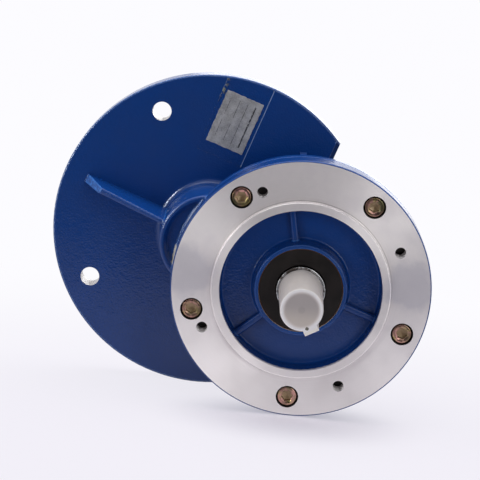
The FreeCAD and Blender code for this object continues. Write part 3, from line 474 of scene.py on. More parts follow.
def casting_material(name, finishes, zones, turning, tone):
    """Blue enamel over a casting, with bare turned faces of a tone and raw hollows where zones says; pale blue on
    edges, the disc's rim and the rib's end is painted highlight, and darkening in some zones painted shade.
    """
    graph = MaterialGraph(name)
    where = graph.effect("place")
    skin = graph.effect("skin")
    smudge = graph.effect("smudge", Size=46.0)
    zone = {**NO_ZONES, **zones(graph, where)}
    bare = zone["bare"]
    edge = graph.effect("edge", Radius=graph.every(graph.math("SUBTRACT", 1.0, zone["root"]), 1.6 * MM))
    rings = graph.effect("turned", Radius=zone["radius"], Pitch=0.34 * MM)
    specks = graph.step(graph.noise(graph.place(), 620.0, 3.0), 0.46, 0.66, 0.22, 0.90)
    paint = graph.layers(finishes.paint,
                         (0.78, skin["Patches"], 0.35),
                         # Pale blue on the edges: painted highlight.
                         (finishes.paint_edge_highlight, edge["Edge"], 0.65),
                         # Pale blue along the disc's rim: painted highlight.
                         (finishes.paint_rim_highlight, edge["Edge"], zone["rim"]),
                         # The rib's end takes the same pale blue in specks: painted highlight.
                         (finishes.paint_edge_highlight, zone["thin"], specks),
                         # The chamfer of the straight cut is painted darker, to 0.3 of the paint: painted shade.
                         (0.3, zone["matt"], 0.85))
    hollow = graph.layers(finishes.raw_casting, (0.7, skin["Patches"]))
    cast = graph.layers(paint, (hollow, zone["raw"]), (finishes.drilled_metal, zone["drilled"]))
    bright = scaled(finishes.turned_metal, tone)
    # The clouds on the bare metal fade towards the bottom, so the lower ring reads brighter: painted light.
    painted_low_light = graph.step(where["Z"], -60.0 * MM, 0.0, 0.10, 0.45)
    metal = graph.layers(bright,
                         (scaled(bright, 0.80, 0.80, 0.84), smudge["Clouds"], painted_low_light),
                         (0.86, rings["Bands"], 0.25),
                         # Darker patches at the left and right of the ring.
                         (scaled(bright, 0.66, 0.67, 0.74), zone["dark_patches"]),
                         # Painted shade: holes, the spigot's side wall and the groove line are darkened towards
                         # black.
                         (0.06, zone["painted_shade"]))
    glossy = graph.blend(skin["Patches"], 0.15, 0.24)
    for mask, rough in ((zone["matt"], 0.65), (zone["thin"], 0.6), (zone["raw"], 0.62)):
        glossy = graph.blend(mask, glossy, rough)
    dull = graph.blend(smudge["Clouds"], 0.46, 0.58)
    pebbles = graph.bump(skin["Height"], 0.18 * MM, 0.7, edge["Normal"])
    turned = graph.bump(rings["Height"], 0.004 * MM, 0.5)
    normal = graph.add("ShaderNodeMix", {0: bare, 4: pebbles, 5: turned}, data_type="VECTOR")
    tangent = graph.add("ShaderNodeTangent", direction_type="RADIAL", axis="Y")
    return graph.finish({
        "Base Color": graph.layers(cast, (metal, bare)),
        "Metallic": graph.any(bare, graph.every(zone["raw"], 0.5), zone["matt"]),
        "Roughness": graph.blend(bare, glossy, dull),
        "Specular IOR Level": 0.4,
        "Anisotropic": turning,
        "Anisotropic Rotation": 0.25,
        "Normal": normal.outputs[1],
        "Tangent": tangent.outputs[0],
    })


def flange_zones(graph, where):
    """Bare faces, holes and bores of the output flange, its roots, the painted shade in its holes, on its spigot
    wall and along a groove line, and the darker patches on its ring.
    """
    radius, depth, height = where["Output Radius"], where["Y"], where["Z"]
    front = graph.within((radius, 49.85, 79.2, 0.06), (depth, None, 0.35, 0.1))
    # Inside the holes the metal is painted nearly black: painted shade.
    holes = graph.within((radius, 57.0, 78.5, 0.05), (depth, 0.25, None, 0.05))
    joint = graph.within((depth, FLANGE_BACK / MM - 0.275, None, 0.075))
    bores = graph.within((radius, None, 27.7, 0.1), (depth, -0.8, None, 0.1))
    floor = graph.within((depth, 9.4, 11.5, 0.2), (radius, None, 49.25, 0.25))
    ribs = graph.within((radius, 35.0, 49.0, 0.5), (depth, 0.75, None, 0.25))
    # The spigot's side wall and a thin line beside it are painted darker, more so towards the top: painted shade;
    # the line stands for a groove the shape does not have.
    wall = graph.within((radius, 54.5, 55.5, 0.05), (depth, -3.2, -0.2, 0.1))
    wall = graph.every(wall, graph.step(height, -20.0 * MM, 30.0 * MM, 0.06, 0.25))
    painted_groove_line = graph.within((radius, 55.45, 56.0, 0.12), (depth, -0.2, 0.2, 0.05))
    painted_groove_line = graph.every(painted_groove_line, graph.step(height, 20.0 * MM, 48.0 * MM, 0.10, 0.30))
    place = graph.place()
    wander = graph.every(graph.noise(place, 90.0, 4.0), 16.0 * MM)
    spots = []
    for x, z, reach, strength in DARK_PATCHES:
        offset = graph.math("ADD", graph.measure("DISTANCE", place, (x * MM, 0.0, z * MM)), wander)
        spots.append(graph.every(graph.within((offset, None, reach + 6.5, 4.5)), strength))
    return {
        "bare": graph.any(front, holes, joint, bores),
        "painted_shade": graph.any(holes, wall, painted_groove_line),
        "root": graph.any(floor, ribs),
        "radius": radius,
        "dark_patches": graph.any(*spots),
    }


def unpainted(graph, where):
    """Ragged strip of the joint edge inside the boss, where the spray did not reach."""
    foot = graph.within((where["Z"], -21.0, -9.0, 1.5))
    crown = graph.within((where["Z"], 6.0, 20.0, 2.5))
    ragged = graph.every(graph.noise(graph.place(), 420.0, 4.0), 1.6 * MM)
    reach = graph.math("ADD", graph.every(foot, 0.7 * MM), ragged)
    inner = graph.math("SUBTRACT", where["Output Radius"], reach)
    strip = graph.within((inner, None, 79.85, 0.1), (where["Input Radius"], None, 27.25, 0.25),
                         (where["Y"], JOINT_FACE / MM - 0.3, 22.0, 0.1))
    return graph.every(strip, graph.any(foot, graph.every(crown, 0.55)))


def case_zones(graph, where):
    """Bare faces, raw hollows and holes of the case, the disc's rim and cut, and the rib's end; the rim and the
    rib's end take painted highlight, the cut's chamfer painted shade.
    """
    across, depth = where["X"], where["Y"]
    out_radius, in_radius = where["Output Radius"], where["Input Radius"]
    front, back = DISC_FRONT / MM, MOTOR_FACE / MM
    axis = -INPUT_OFFSET / MM
    cut = axis + CUT_EDGE
    motor = graph.within((depth, back - 0.275, None, 0.075))
    recess = graph.within((in_radius, None, 65.2, 0.1), (depth, 66.75, None, 0.15))
    chamber = graph.within((out_radius, None, 51.3, 0.1), (depth, None, 66.3, 0.1))
    pocket = graph.within((in_radius, None, 22.3, 0.1), (depth, 23.1, None, 0.1))
    aside = graph.math("ABSOLUTE", where["Z"])
    lean = graph.every(graph.math("SUBTRACT", DISC_FRONT, depth), RIB_LEAN)
    along_rib = graph.math("ADD", in_radius, lean)
    return {
        "bare": graph.any(motor, recess),
        "raw": graph.any(chamber, pocket, unpainted(graph, where)),
        "root": graph.within((depth, front - 2.4, front + 0.4, 0.3), (in_radius, None, 97.25, 0.25)),
        "radius": in_radius,
        # The disc's rim, painted pale blue as a highlight.
        "rim": graph.within((in_radius, 97.8, None, 0.2), (depth, None, front + 3.5, 0.5)),
        # The chamfer of the straight cut, painted darker as shade.
        "matt": graph.within((across, cut - 3.4, cut + 0.4, 0.1), (aside, 60.5, None, 0.5),
                             (in_radius, None, 99.0, 0.4), (depth, front + 0.2, None, 0.2)),
        "drilled": graph.within((in_radius, 76.0, 89.0, 0.1), (depth, front + 0.2, back, 0.1),
                                (across, None, axis + 19.5, 0.5)),
        # The rib's end, which takes painted highlight.
        "thin": graph.within((along_rib, RIB_FOOT - 0.7, None, 0.3), (depth, None, front - 1.0, 0.4),
                             (across, None, axis - 22.0, 2.0)),
    }


def steel_material(name, tint, rough, on_input, pitch, oil=0.0, grime=0.0):
    """Turned or ground steel with rings about an axis, patches, a little oil and grime by the seal."""
    graph = MaterialGraph(name)
    where = graph.effect("place")
    smudge = graph.effect("smudge", Size=120.0)
    edge = graph.effect("edge", Radius=0.5 * MM)
    radius = where["Input Radius" if on_input else "Output Radius"]
    rings = graph.effect("turned", Radius=graph.math("ADD", radius, where["Y"]), Pitch=pitch * MM)
    shade = graph.layers(tint, (0.72, smudge["Clouds"], 0.6), (1.35, edge["Edge"], 0.5),
                         (0.5, smudge["Scratches"], 0.3))
    if grime:
        collar = graph.within((where["Y"], CAP_FOOT / MM, SEAL_FACE / MM + 1.0, 0.8))
        marks = graph.step(graph.noise(graph.place(), 240.0, 3.0), 0.52, 0.60)
        shade = graph.layers(shade, (SHAFT_GRIME, marks, collar, grime))
    return graph.finish({
        "Base Color": shade,
        "Metallic": 1.0,
        "Roughness": graph.blend(smudge["Clouds"], rough, rough + 0.14),
        "Coat Weight": oil,
        "Coat Roughness": 0.08,
        "Normal": graph.bump(rings["Height"], 0.006 * MM, 0.5, edge["Normal"]),
    })


def zinc_material(finishes):
    """Yellow zinc with rose and green tints, painted highlights on the edges and painted light on the socket
    floor.
    """
    graph = MaterialGraph("yellow_zinc_screw")
    place = graph.place()
    smudge = graph.effect("smudge", Size=150.0)
    edge = graph.effect("edge", Radius=0.4 * MM)
    # Below the socket's mouth the zinc is painted lighter and less metallic: painted light on the socket floor.
    socket = graph.within((graph.effect("place")["Y"], SCREW_FACE / MM + 3.2, None, 0.6))
    return graph.finish({
        "Base Color": graph.layers(
            finishes.zinc_gold,
            (finishes.zinc_rose, graph.step(graph.noise(place, 190.0, 3.0), 0.32, 0.54)),
            (finishes.zinc_green, graph.step(graph.noise(place, 95.0), 0.45, 0.65)),
            (ZINC_DIRT, smudge["Clouds"], 0.6),
            # Light zinc on the edges: painted highlight.
            (ZINC_EDGE_HIGHLIGHT, edge["Edge"], 0.75),
            (ZINC_SOCKET_LIGHT, socket)),
        "Metallic": graph.blend(socket, 1.0, 0.2),
        "Roughness": graph.blend(smudge["Clouds"], 0.20, 0.40),
        "Normal": graph.bump(graph.noise(place, 2600.0, 3.0), 0.02 * MM, 0.5, edge["Normal"]),
    })


def rubber_material(finishes):
    """Moulded rubber with faint rings and a lacquered outer edge."""
    graph = MaterialGraph("seal_rubber_black")
    where = graph.effect("place")
    radius = where["Output Radius"]
    smudge = graph.effect("smudge", Size=90.0)
    rings = graph.effect("turned", Radius=radius, Pitch=1.1 * MM)
    rim = graph.within((radius, 25.375, None, 0.125), (where["Y"], None, 1.75, 0.25))
    height = graph.math("ADD", graph.every(rings["Height"], 0.5), graph.noise(graph.place(), 1500.0, 3.0))
    return graph.finish({
        "Base Color": graph.layers(finishes.rubber, (1.9, smudge["Clouds"]),
                                   (RUBBER_SCUFF, smudge["Scratches"], 0.25), (finishes.seal_case, rim)),
        "Roughness": graph.blend(smudge["Clouds"], 0.46, 0.62),
        "Normal": graph.bump(height, 0.04 * MM, 0.5),
        "Specular IOR Level": 0.2,
    })


def cap_material(finishes):
    """Milky polyethylene with flow marks, a gate mark and faint scuffs, painted highlights on its edges and front
    rim, and painted shade on its front face.
    """
    graph = MaterialGraph("milky_cap_plastic")
    place = graph.place()
    where = graph.effect("place")
    radius = where["Output Radius"]
    smudge = graph.effect("smudge", Size=130.0)
    edge = graph.effect("edge", Radius=0.9 * MM)
    drawn = graph.add("ShaderNodeMapping", {"Vector": place, "Scale": (60.0, 14.0, 60.0)}).outputs[0]
    flow = graph.noise(drawn, 1.0, 4.0)
    ahead = graph.within((where["Y"], None, CAP_END / MM + 0.225, 0.075))
    low = graph.within((graph.parts(place)["Z"], None, -2.5, 6.5))
    gate_angle = math.radians(-50.0)
    gate_radius = 11.6 * MM
    gate_place = from_level(gate_radius * math.cos(gate_angle), CAP_END, gate_radius * math.sin(gate_angle))
    ragged = graph.every(graph.noise(place, 900.0, 3.0), 1.4 * MM)
    gate = graph.math("ADD", graph.measure("DISTANCE", place, tuple(gate_place)), ragged)
    shaded = graph.layers(CAP_SHADE_HIGH, (CAP_SHADE_LOW, low))
    relief = graph.math("ADD", flow, graph.step(gate, 1.9 * MM, 1.3 * MM, 0.0, -2.0))
    return graph.finish({
        "Base Color": graph.layers(
            finishes.cap_plastic,
            (0.93, graph.step(flow, 0.3, 0.75)),
            # Near white on the edges and round the front face's rim: painted highlight, standing for light through
            # the plastic.
            (CAP_EDGE_HIGHLIGHT, edge["Edge"], 0.9),
            (CAP_LIP_LIGHT, ahead, graph.within((radius, 10.65, None, 1.15)), 0.8),
            (shaded, ahead, graph.within((radius, None, 10.3, 1.3)), 0.72),
            (CAP_TAB, graph.within((radius, 13.65, None, 0.25)), 0.8),
            (CAP_PIP, ahead, graph.within((radius, None, 2.1, 0.5)), 0.25),
            (CAP_GATE, graph.within((gate, None, 1.75, 0.25)))),
        "Roughness": graph.blend(smudge["Clouds"], 0.28, 0.42),
        "Subsurface Weight": 0.35,
        "Subsurface Radius": (1.0, 0.95, 0.85),
        "Subsurface Scale": 3.0 * MM,
        "Normal": graph.bump(relief, 0.03 * MM, 0.25, edge["Normal"]),
    })


def plate_material(finishes, plate):
    """Grey foil with fine grain and blank ruled lines."""
    graph = MaterialGraph("grey_plate_foil")
    place = graph.place()
    where = graph.effect("place")
    smudge = graph.effect("smudge", Size=240.0)
    grain = graph.noise(place, 2400.0, 3.0)
    across = graph.math("ADD", where["X"], INPUT_OFFSET + plate.left)
    up = graph.math("SUBTRACT", where["Z"], plate.bottom)
    lines = [graph.within((across, middle - half, middle + half, 0.04), (up, low, high, 0.05))
             for middle, low, high, half in RULES]
    worn = graph.every(graph.any(*lines), graph.step(graph.noise(place, 900.0), 0.3, 0.5))
    return graph.finish({
        "Base Color": graph.layers(finishes.plate, (0.62, graph.step(grain, 0.3, 0.7)),
                                   (1.35, smudge["Clouds"], 0.4), (finishes.ink, worn)),
        "Metallic": graph.blend(worn, 0.55, 0.0),
        "Roughness": graph.blend(smudge["Clouds"], 0.42, 0.55),
        "Normal": graph.bump(grain, 0.03 * MM, 0.5),
    })


def film_material():
    """Clear film: nearly nothing but gloss, with its edges painted light blue as highlights, and a little old
    glue.
    """
    graph = MaterialGraph("clear_film")
    place = graph.place()
    flat = graph.parts(graph.add("ShaderNodeUVMap", uv_map="film").outputs[0])
    across, foot = flat["X"], flat["Y"]
    upper = graph.every(graph.step(across, 0.022, 0.006), graph.step(foot, 0.66, 0.76, 0.12, 0.55))
    lower = graph.every(graph.step(foot, 0.014, 0.002), 0.22)
    broken = graph.step(graph.noise(place, 420.0, 4.0), 0.36, 0.60)
    # The ragged edge lines are painted light blue: painted highlight where light catches the film's edges.
    ragged = graph.any(graph.every(graph.any(upper, lower), broken), graph.step(across, 0.974, 0.990))
    glue = graph.every(graph.step(graph.noise(place, 300.0, 4.0), 0.48, 0.62), graph.step(across, 0.12, 0.0),
                       graph.step(foot, 0.70, 0.80))
    return graph.finish({
        "Base Color": graph.layers(FILM_CLEAR, (FILM_EDGE_HIGHLIGHT, ragged), (FILM_GLUE, glue)),
        "Alpha": graph.any(graph.blend(ragged, 0.006, 0.55), graph.every(glue, 0.6)),
        "Roughness": graph.blend(graph.noise(place, 60.0), 0.08, 0.2),
        "Normal": graph.bump(graph.noise(place, 130.0, 3.0), 0.2 * MM, 0.25),
    })


def gasket_material(finishes):
    """Pressed paper with fibres."""
    graph = MaterialGraph("gasket_paper_brown")
    smudge = graph.effect("smudge", Size=200.0)
    fibres = graph.noise(graph.place(), 1800.0, 5.0)
    return graph.finish({
        "Base Color": graph.layers(finishes.gasket, (0.6, graph.step(fibres, 0.3, 0.7)),
                                   (GASKET_OIL, smudge["Clouds"], 0.4)),
        "Roughness": graph.blend(smudge["Clouds"], 0.75, 0.9),
        "Normal": graph.bump(fibres, 0.04 * MM, 0.6),
    })


def dress(material, *nodes):
    """Gives CAD nodes their finish."""
    for node in nodes:
        mesh = NODES[node].data
        mesh.materials.clear()
        mesh.materials.append(material)


def placed(name, data):
    """New object in the scene."""
    piece = bpy.data.objects.new(name, data)
    bpy.context.scene.collection.objects.link(piece)
    return piece


def made_plain(piece):
    """Turns a piece's modifiers into plain mesh."""
    bpy.context.view_layer.update()
    graph = bpy.context.evaluated_depsgraph_get()
    draft = piece.data
    made = bpy.data.meshes.new_from_object(piece.evaluated_get(graph))
    piece.modifiers.clear()
    piece.data = made
    bpy.data.meshes.remove(draft)
    made.name = piece.name
    if len(made.polygons) == 0:
        raise RuntimeError(piece.name + " came out empty")
    return piece


def set_on_ring(name, mesh, values):
    """Object made of copies of a mesh on a circle, as one plain mesh."""
    piece = placed(name, mesh)
    modifier = piece.modifiers.new("ring", "NODES")
    modifier.node_group = ring_tree()
    for item in ring_tree().interface.items_tree:
        if item.in_out == "INPUT" and item.name in values:
            modifier[item.identifier] = values[item.name]
    return made_plain(piece)


def skinned_rings(name, rings, closed_ends, smooth):
    """Mesh from rings of equal point counts; edges that bend more than smooth degrees stay sharp."""
    mesh = bpy.data.meshes.new(name)
    work = bmesh.new()
    rows = [[work.verts.new(place) for place in ring] for ring in rings]
    count = len(rings[0])
    for near, far in zip(rows, rows[1:]):
        for index in range(count):
            following = (index + 1) % count
            work.faces.new((near[index], near[following], far[following], far[index]))
    for row, closed in zip((rows[0], rows[-1]), closed_ends):
        if closed:
            middle = work.verts.new(sum((vert.co for vert in row), Vector()) / count)
            for index in range(count):
                work.faces.new((row[index], row[(index + 1) % count], middle))
    bmesh.ops.remove_doubles(work, verts=work.verts, dist=1e-7)
    bmesh.ops.recalc_face_normals(work, faces=work.faces)
    for face in work.faces:
        face.smooth = True
    for edge in work.edges:
        if len(edge.link_faces) == 2 and edge.calc_face_angle(0.0) > math.radians(smooth):
            edge.smooth = False
    work.to_mesh(mesh)
    work.free()
    return mesh


def around(radius_at, y, count):
    """One ring about the Y axis, whose radius may change with the angle."""
    places = []
    for index in range(count):
        angle = TURN * index / count
        radius = radius_at(angle)
        places.append(Vector((radius * math.cos(angle), y, radius * math.sin(angle))))
    return places


def plain(radius):
    """The same radius at every angle."""
    return lambda angle: radius


def ridge(angle, y, pitch):
    """Height of a thread from 0 to 1, by angle and place along it."""
    phase = (y / pitch - angle / TURN) % 1.0
    return min(1.0, max(0.0, 1.5 - abs(phase - 0.5) * 4.0))


def screw_mesh(screws):
    """One socket head cap screw along Y, its head face at the front."""
    count = screws.knurls * 2
    top = SCREW_FACE
    under = top + screws.head_height
    socket_floor = top + screws.socket_depth
    bevel = 0.6 * MM
    flat = screws.hexagon / 2.0
    corner = flat / math.cos(math.pi / 6.0)
    root = screws.shank - 0.55 * MM

    def hexagon(angle):
        return flat / math.cos((angle + math.pi / 6.0) % (math.pi / 3.0) - math.pi / 6.0)

    def knurled(angle):
        return screws.head - (0.22 * MM if round(angle * count / TURN) % 2 else 0.0)

    profile = [
        (plain(0.3 * MM), socket_floor + 0.9 * MM),
        (hexagon, socket_floor),
        (hexagon, top + bevel),
        (plain(corner + 0.65 * MM), top),
        (plain(screws.head - 1.1 * MM), top),
        (plain(screws.head - 0.8 * MM), top + 0.1 * MM),
        (plain(screws.head - 0.25 * MM), top + bevel),
        (knurled, top + 1.1 * MM),
        (knurled, under - 0.5 * MM),
        (plain(screws.head - 0.3 * MM), under),
        (plain(screws.shank), under),
    ]
    y = under + screws.pitch
    while y < SCREW_TIP - 0.6 * MM:
        profile.append((lambda angle, y=y: root + (screws.shank - root) * ridge(angle, y, screws.pitch), y))
        y += screws.pitch / 4.0
    profile.append((plain(root), SCREW_TIP - 0.5 * MM))
    profile.append((plain(root - 0.4 * MM), SCREW_TIP))
    rings = [around(shape, y, count) for shape, y in profile]
    return skinned_rings("cap_screw", rings, (True, True), 35.0)


def thread_mesh(radius, height, pitch, start, end):
    """Thread lining of a tapped hole: ridges inside, plain outside, closed."""
    count = 40
    outer = radius - 0.01 * MM
    wall = 0.03 * MM
    run_out = 4.0
    steps = max(2, round(abs(end - start) / pitch * 6))
    rings = [around(plain(outer), start, count)]
    for index in range(steps + 1):
        y = start + (end - start) * index / steps
        rise = (height - wall) * min(1.0, index / run_out, (steps - index) / run_out)
        rings.append(around(lambda angle: outer - wall - rise * ridge(angle, y, pitch), y, count))
    rings.append(around(plain(outer), end, count))
    rings.append(rings[0])
    return skinned_rings("tapped_thread", rings, (False, False), 60.0)


def seat(piece, body):
    """Puts a finished piece on its body."""
    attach(piece, body)
    return piece


class ReducerOperator:
    """Options that all operators share."""

    bl_options = {"REGISTER", "UNDO"}


class REDUCER_OT_castings(ReducerOperator, bpy.types.Operator):
    """Paint the case and the output flange, and finish the gasket"""

    bl_idname = "reducer.castings"
    bl_label = "Castings"

    def execute(self, context):
        finishes = context.scene.reducer_finishes
        # The case's bare faces take 0.6 of the turned metal's colour: painted shade, a darker copy of the flange's
        # metal so the back lamp does not burn them white.
        dress(casting_material("case_enamel", finishes, case_zones, 0.0, 0.6), "gear_case")
        dress(casting_material("flange_enamel", finishes, flange_zones, 0.85, 1.0), "output_flange")
        dress(gasket_material(finishes), "flange_gasket")
        return {"FINISHED"}


class REDUCER_OT_screws(ReducerOperator, bpy.types.Operator):
    """Set the socket head cap screws into the output flange"""

    bl_idname = "reducer.screws"
    bl_label = "Flange screws"

    def execute(self, context):
        screws = context.scene.reducer_screws
        material = zinc_material(context.scene.reducer_finishes)
        first = -(screws.count - 1) / 2.0 * screws.step - ROLL
        values = {"Count": screws.count, "Radius": screws.circle, "First": first, "Step": screws.step,
                  "Spin": 0.37, "Centre": (0.0, 0.0, 0.0), "Finish": material}
        piece = set_on_ring("flange_cap_screws", screw_mesh(screws), values)
        seat(piece, "housing")
        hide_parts("flange_screws")
        dress(material, "flange_screws")
        return {"FINISHED"}


class REDUCER_OT_threads(ReducerOperator, bpy.types.Operator):
    """Cut threads into the tapped holes of flange, lugs and shaft end"""

    bl_idname = "reducer.threads"
    bl_label = "Tapped threads"

    def execute(self, context):
        threads = context.scene.reducer_threads
        tint = scaled(context.scene.reducer_finishes.turned_metal, 0.85)
        metal = steel_material("tapped_metal", tint, 0.35, False, 0.4)
        dims = MOUNTS["output_bolts"]["dims"]
        radius = dims["hole_r_mm"] * MM
        step = TURN / dims["count"]
        lining = thread_mesh(radius, threads.height, threads.fine_pitch, 0.9 * MM, threads.flange_depth)
        values = {"Count": dims["count"], "Radius": dims["pcd_mm"] / 2.0 * MM, "First": step / 2.0 - ROLL,
                  "Step": step, "Spin": 0.9, "Centre": (0.0, 0.0, 0.0), "Finish": metal}
        seat(set_on_ring("flange_threads", lining, values), "housing")
        dims = MOUNTS["motor_tapped_holes"]["dims"]
        lining = thread_mesh(dims["hole_r_mm"] * MM, threads.height, threads.coarse_pitch,
                             MOTOR_FACE - 0.4 * MM, MOTOR_FACE - threads.motor_depth)
        values.update({"Count": 2, "Radius": dims["pcd_mm"] / 2.0 * MM * math.sqrt(2.0),
                       "First": -math.pi / 4.0 - ROLL, "Step": math.pi / 2.0, "Centre": tuple(INPUT_AXIS)})
        seat(set_on_ring("motor_threads", lining, values), "housing")
        lining = thread_mesh(radius, threads.height, threads.fine_pitch, SHAFT_END + 0.5 * MM,
                             SHAFT_END + threads.shaft_depth)
        values.update({"Count": 1, "Radius": 0.0, "Centre": (0.0, 0.0, 0.0)})
        seat(set_on_ring("shaft_thread", lining, values), "output_set")
        return {"FINISHED"}


class REDUCER_OT_plate(ReducerOperator, bpy.types.Operator):
    """Lay the bare ruled plate on the disc and the clear film over it"""

    bl_idname = "reducer.plate"
    bl_label = "Plate and film"

    def execute(self, context):
        plate = context.scene.reducer_plate
        material = plate_material(context.scene.reducer_finishes, plate)
        piece = self.foil(plate)
        piece.data.materials.append(material)
        seat(piece, "housing")
        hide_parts("nameplate")
        dress(material, "nameplate")
        film = self.film(plate)
        film.data.materials.append(film_material())
        seat(film, "housing")
        return {"FINISHED"}

    def foil(self, plate):
        """Thin foil whose cut edge wanders inwards a little."""
        chance = random.Random(4)
        steps = 26
        left, bottom = -INPUT_OFFSET - plate.left, plate.bottom
        right, top = left + plate.width, bottom + plate.height
        corners = [(left, bottom), (right, bottom), (right, top), (left, top)]
        middle = Vector((left + plate.width / 2.0, bottom + plate.height / 2.0))
        outline = []
        for (x0, z0), (x1, z1) in zip(corners, corners[1:] + corners[:1]):
            for index in range(steps):
                share = index / steps
                place = Vector((x0 + (x1 - x0) * share, z0 + (z1 - z0) * share))
                inward = (middle - place).normalized()
                outline.append(place + inward * chance.random() * plate.ragged * 2.0)
        front = PLATE_FRONT + 0.03 * MM
        back = DISC_FRONT - 0.01 * MM
        bevel = 0.06 * MM
        rows = []
        for inset, y in ((0.0, back), (0.0, front + bevel), (0.1 * MM, front), (2.0 * MM, front)):
            inner = [place + (middle - place).normalized() * inset for place in outline]
            rows.append([from_level(place.x, y, place.y) for place in inner])
        return placed("ruled_plate", skinned_rings("ruled_plate", rows, (True, True), 30.0))

    def film(self, plate):
        """Sheet of film that lies on the disc and climbs over the plate."""
        across, upward = 46, 72
        clearance = 0.07 * MM
        slope = 1.4 * MM
        work = bmesh.new()
        layer = work.loops.layers.uv.new("film")
        flat = {}
        grid = []
        for row in range(upward + 1):
            line = []
            for column in range(across + 1):
                x = plate.film_width * column / across - plate.film_left
                top = math.sqrt(plate.film_reach ** 2 - x ** 2)
                z = plate.film_bottom + (top - plate.film_bottom) * row / upward
                beyond = max(-plate.left - x, x - (plate.width - plate.left), plate.bottom - z,
                             z - plate.bottom - plate.height, 0.0)
                climb = max(0.0, 1.0 - beyond / slope)
                lift = (DISC_FRONT - PLATE_FRONT) * climb * climb * (3.0 - 2.0 * climb)
                vert = work.verts.new(from_level(x - INPUT_OFFSET, DISC_FRONT - lift - clearance, z))
                flat[vert] = (column / across, row / upward)
                line.append(vert)
            grid.append(line)
        for low, high in zip(grid, grid[1:]):
            for column in range(across):
                face = work.faces.new((low[column], low[column + 1], high[column + 1], high[column]))
                face.smooth = True
                for loop in face.loops:
                    loop[layer].uv = flat[loop.vert]
        bmesh.ops.recalc_face_normals(work, faces=work.faces)
        if work.faces[0].normal.y > 0.0:
            bmesh.ops.reverse_faces(work, faces=work.faces)
        mesh = bpy.data.meshes.new("clear_film")
        work.to_mesh(mesh)
        work.free()
        piece = placed("clear_film", mesh)
        wall = piece.modifiers.new("thickness", "SOLIDIFY")
        wall.thickness = 0.05 * MM
        wall.offset = -1.0
        return made_plain(piece)


class REDUCER_OT_seals(ReducerOperator, bpy.types.Operator):
    """Finish the oil seals and circlips"""

    bl_idname = "reducer.seals"
    bl_label = "Seals and circlips"

    def execute(self, context):
        finishes = context.scene.reducer_finishes
        dress(rubber_material(finishes), "output_oil_seal", "input_oil_seal")
        spring = steel_material("blackened_spring", finishes.spring_steel, 0.42, True, 0.5, oil=0.3)
        dress(spring, "case_circlip", "pinion_circlip")
        return {"FINISHED"}


class REDUCER_OT_shaft(ReducerOperator, bpy.types.Operator):
    """Finish the output shaft, its keys and the spacer"""

    bl_idname = "reducer.shaft"
    bl_label = "Output shaft"

    def execute(self, context):
        tint = context.scene.reducer_finishes.ground_steel
        ground = steel_material("ground_shaft", tint, 0.16, False, 0.25, oil=0.2, grime=0.85)
        dress(ground, "output_shaft", "output_key", "gear_key", "gear_spacer")
        return {"FINISHED"}


class REDUCER_OT_gears(ReducerOperator, bpy.types.Operator):
    """Finish the helical wheel and pinion"""

    bl_idname = "reducer.gears"
    bl_label = "Gears"

    def execute(self, context):
        tint = context.scene.reducer_finishes.gear_steel
        dress(steel_material("wheel_teeth", tint, 0.30, False, 0.6, oil=0.5), "output_gear")
        dress(steel_material("pinion_teeth", tint, 0.28, True, 0.6, oil=0.5), "input_pinion")
        return {"FINISHED"}


class REDUCER_OT_bearings(ReducerOperator, bpy.types.Operator):
    """Finish the rings, balls and cages of the four bearings"""

    bl_idname = "reducer.bearings"
    bl_label = "Bearings"

    def execute(self, context):
        finishes = context.scene.reducer_finishes
        ring_tint, cage_tint = finishes.bearing_steel, finishes.cage_steel
        for side, on_input in (("output", False), ("input", True)):
            polished = steel_material(side + "_bearing_steel", ring_tint, 0.12, on_input, 0.2, oil=0.3)
            pressed = steel_material(side + "_cage_steel", cage_tint, 0.36, on_input, 0.8, oil=0.3)
            for name in (side + "_front", side + "_rear"):
                dress(polished, name + "_outer_ring", name + "_inner_ring", name + "_balls")
                dress(pressed, name + "_cage")
        return {"FINISHED"}


class REDUCER_OT_cap(ReducerOperator, bpy.types.Operator):
    """Finish the plastic cap on the shaft end"""

    bl_idname = "reducer.cap"
    bl_label = "Shaft cap"

    def execute(self, context):
        dress(cap_material(context.scene.reducer_finishes), "shaft_cap")
        return {"FINISHED"}


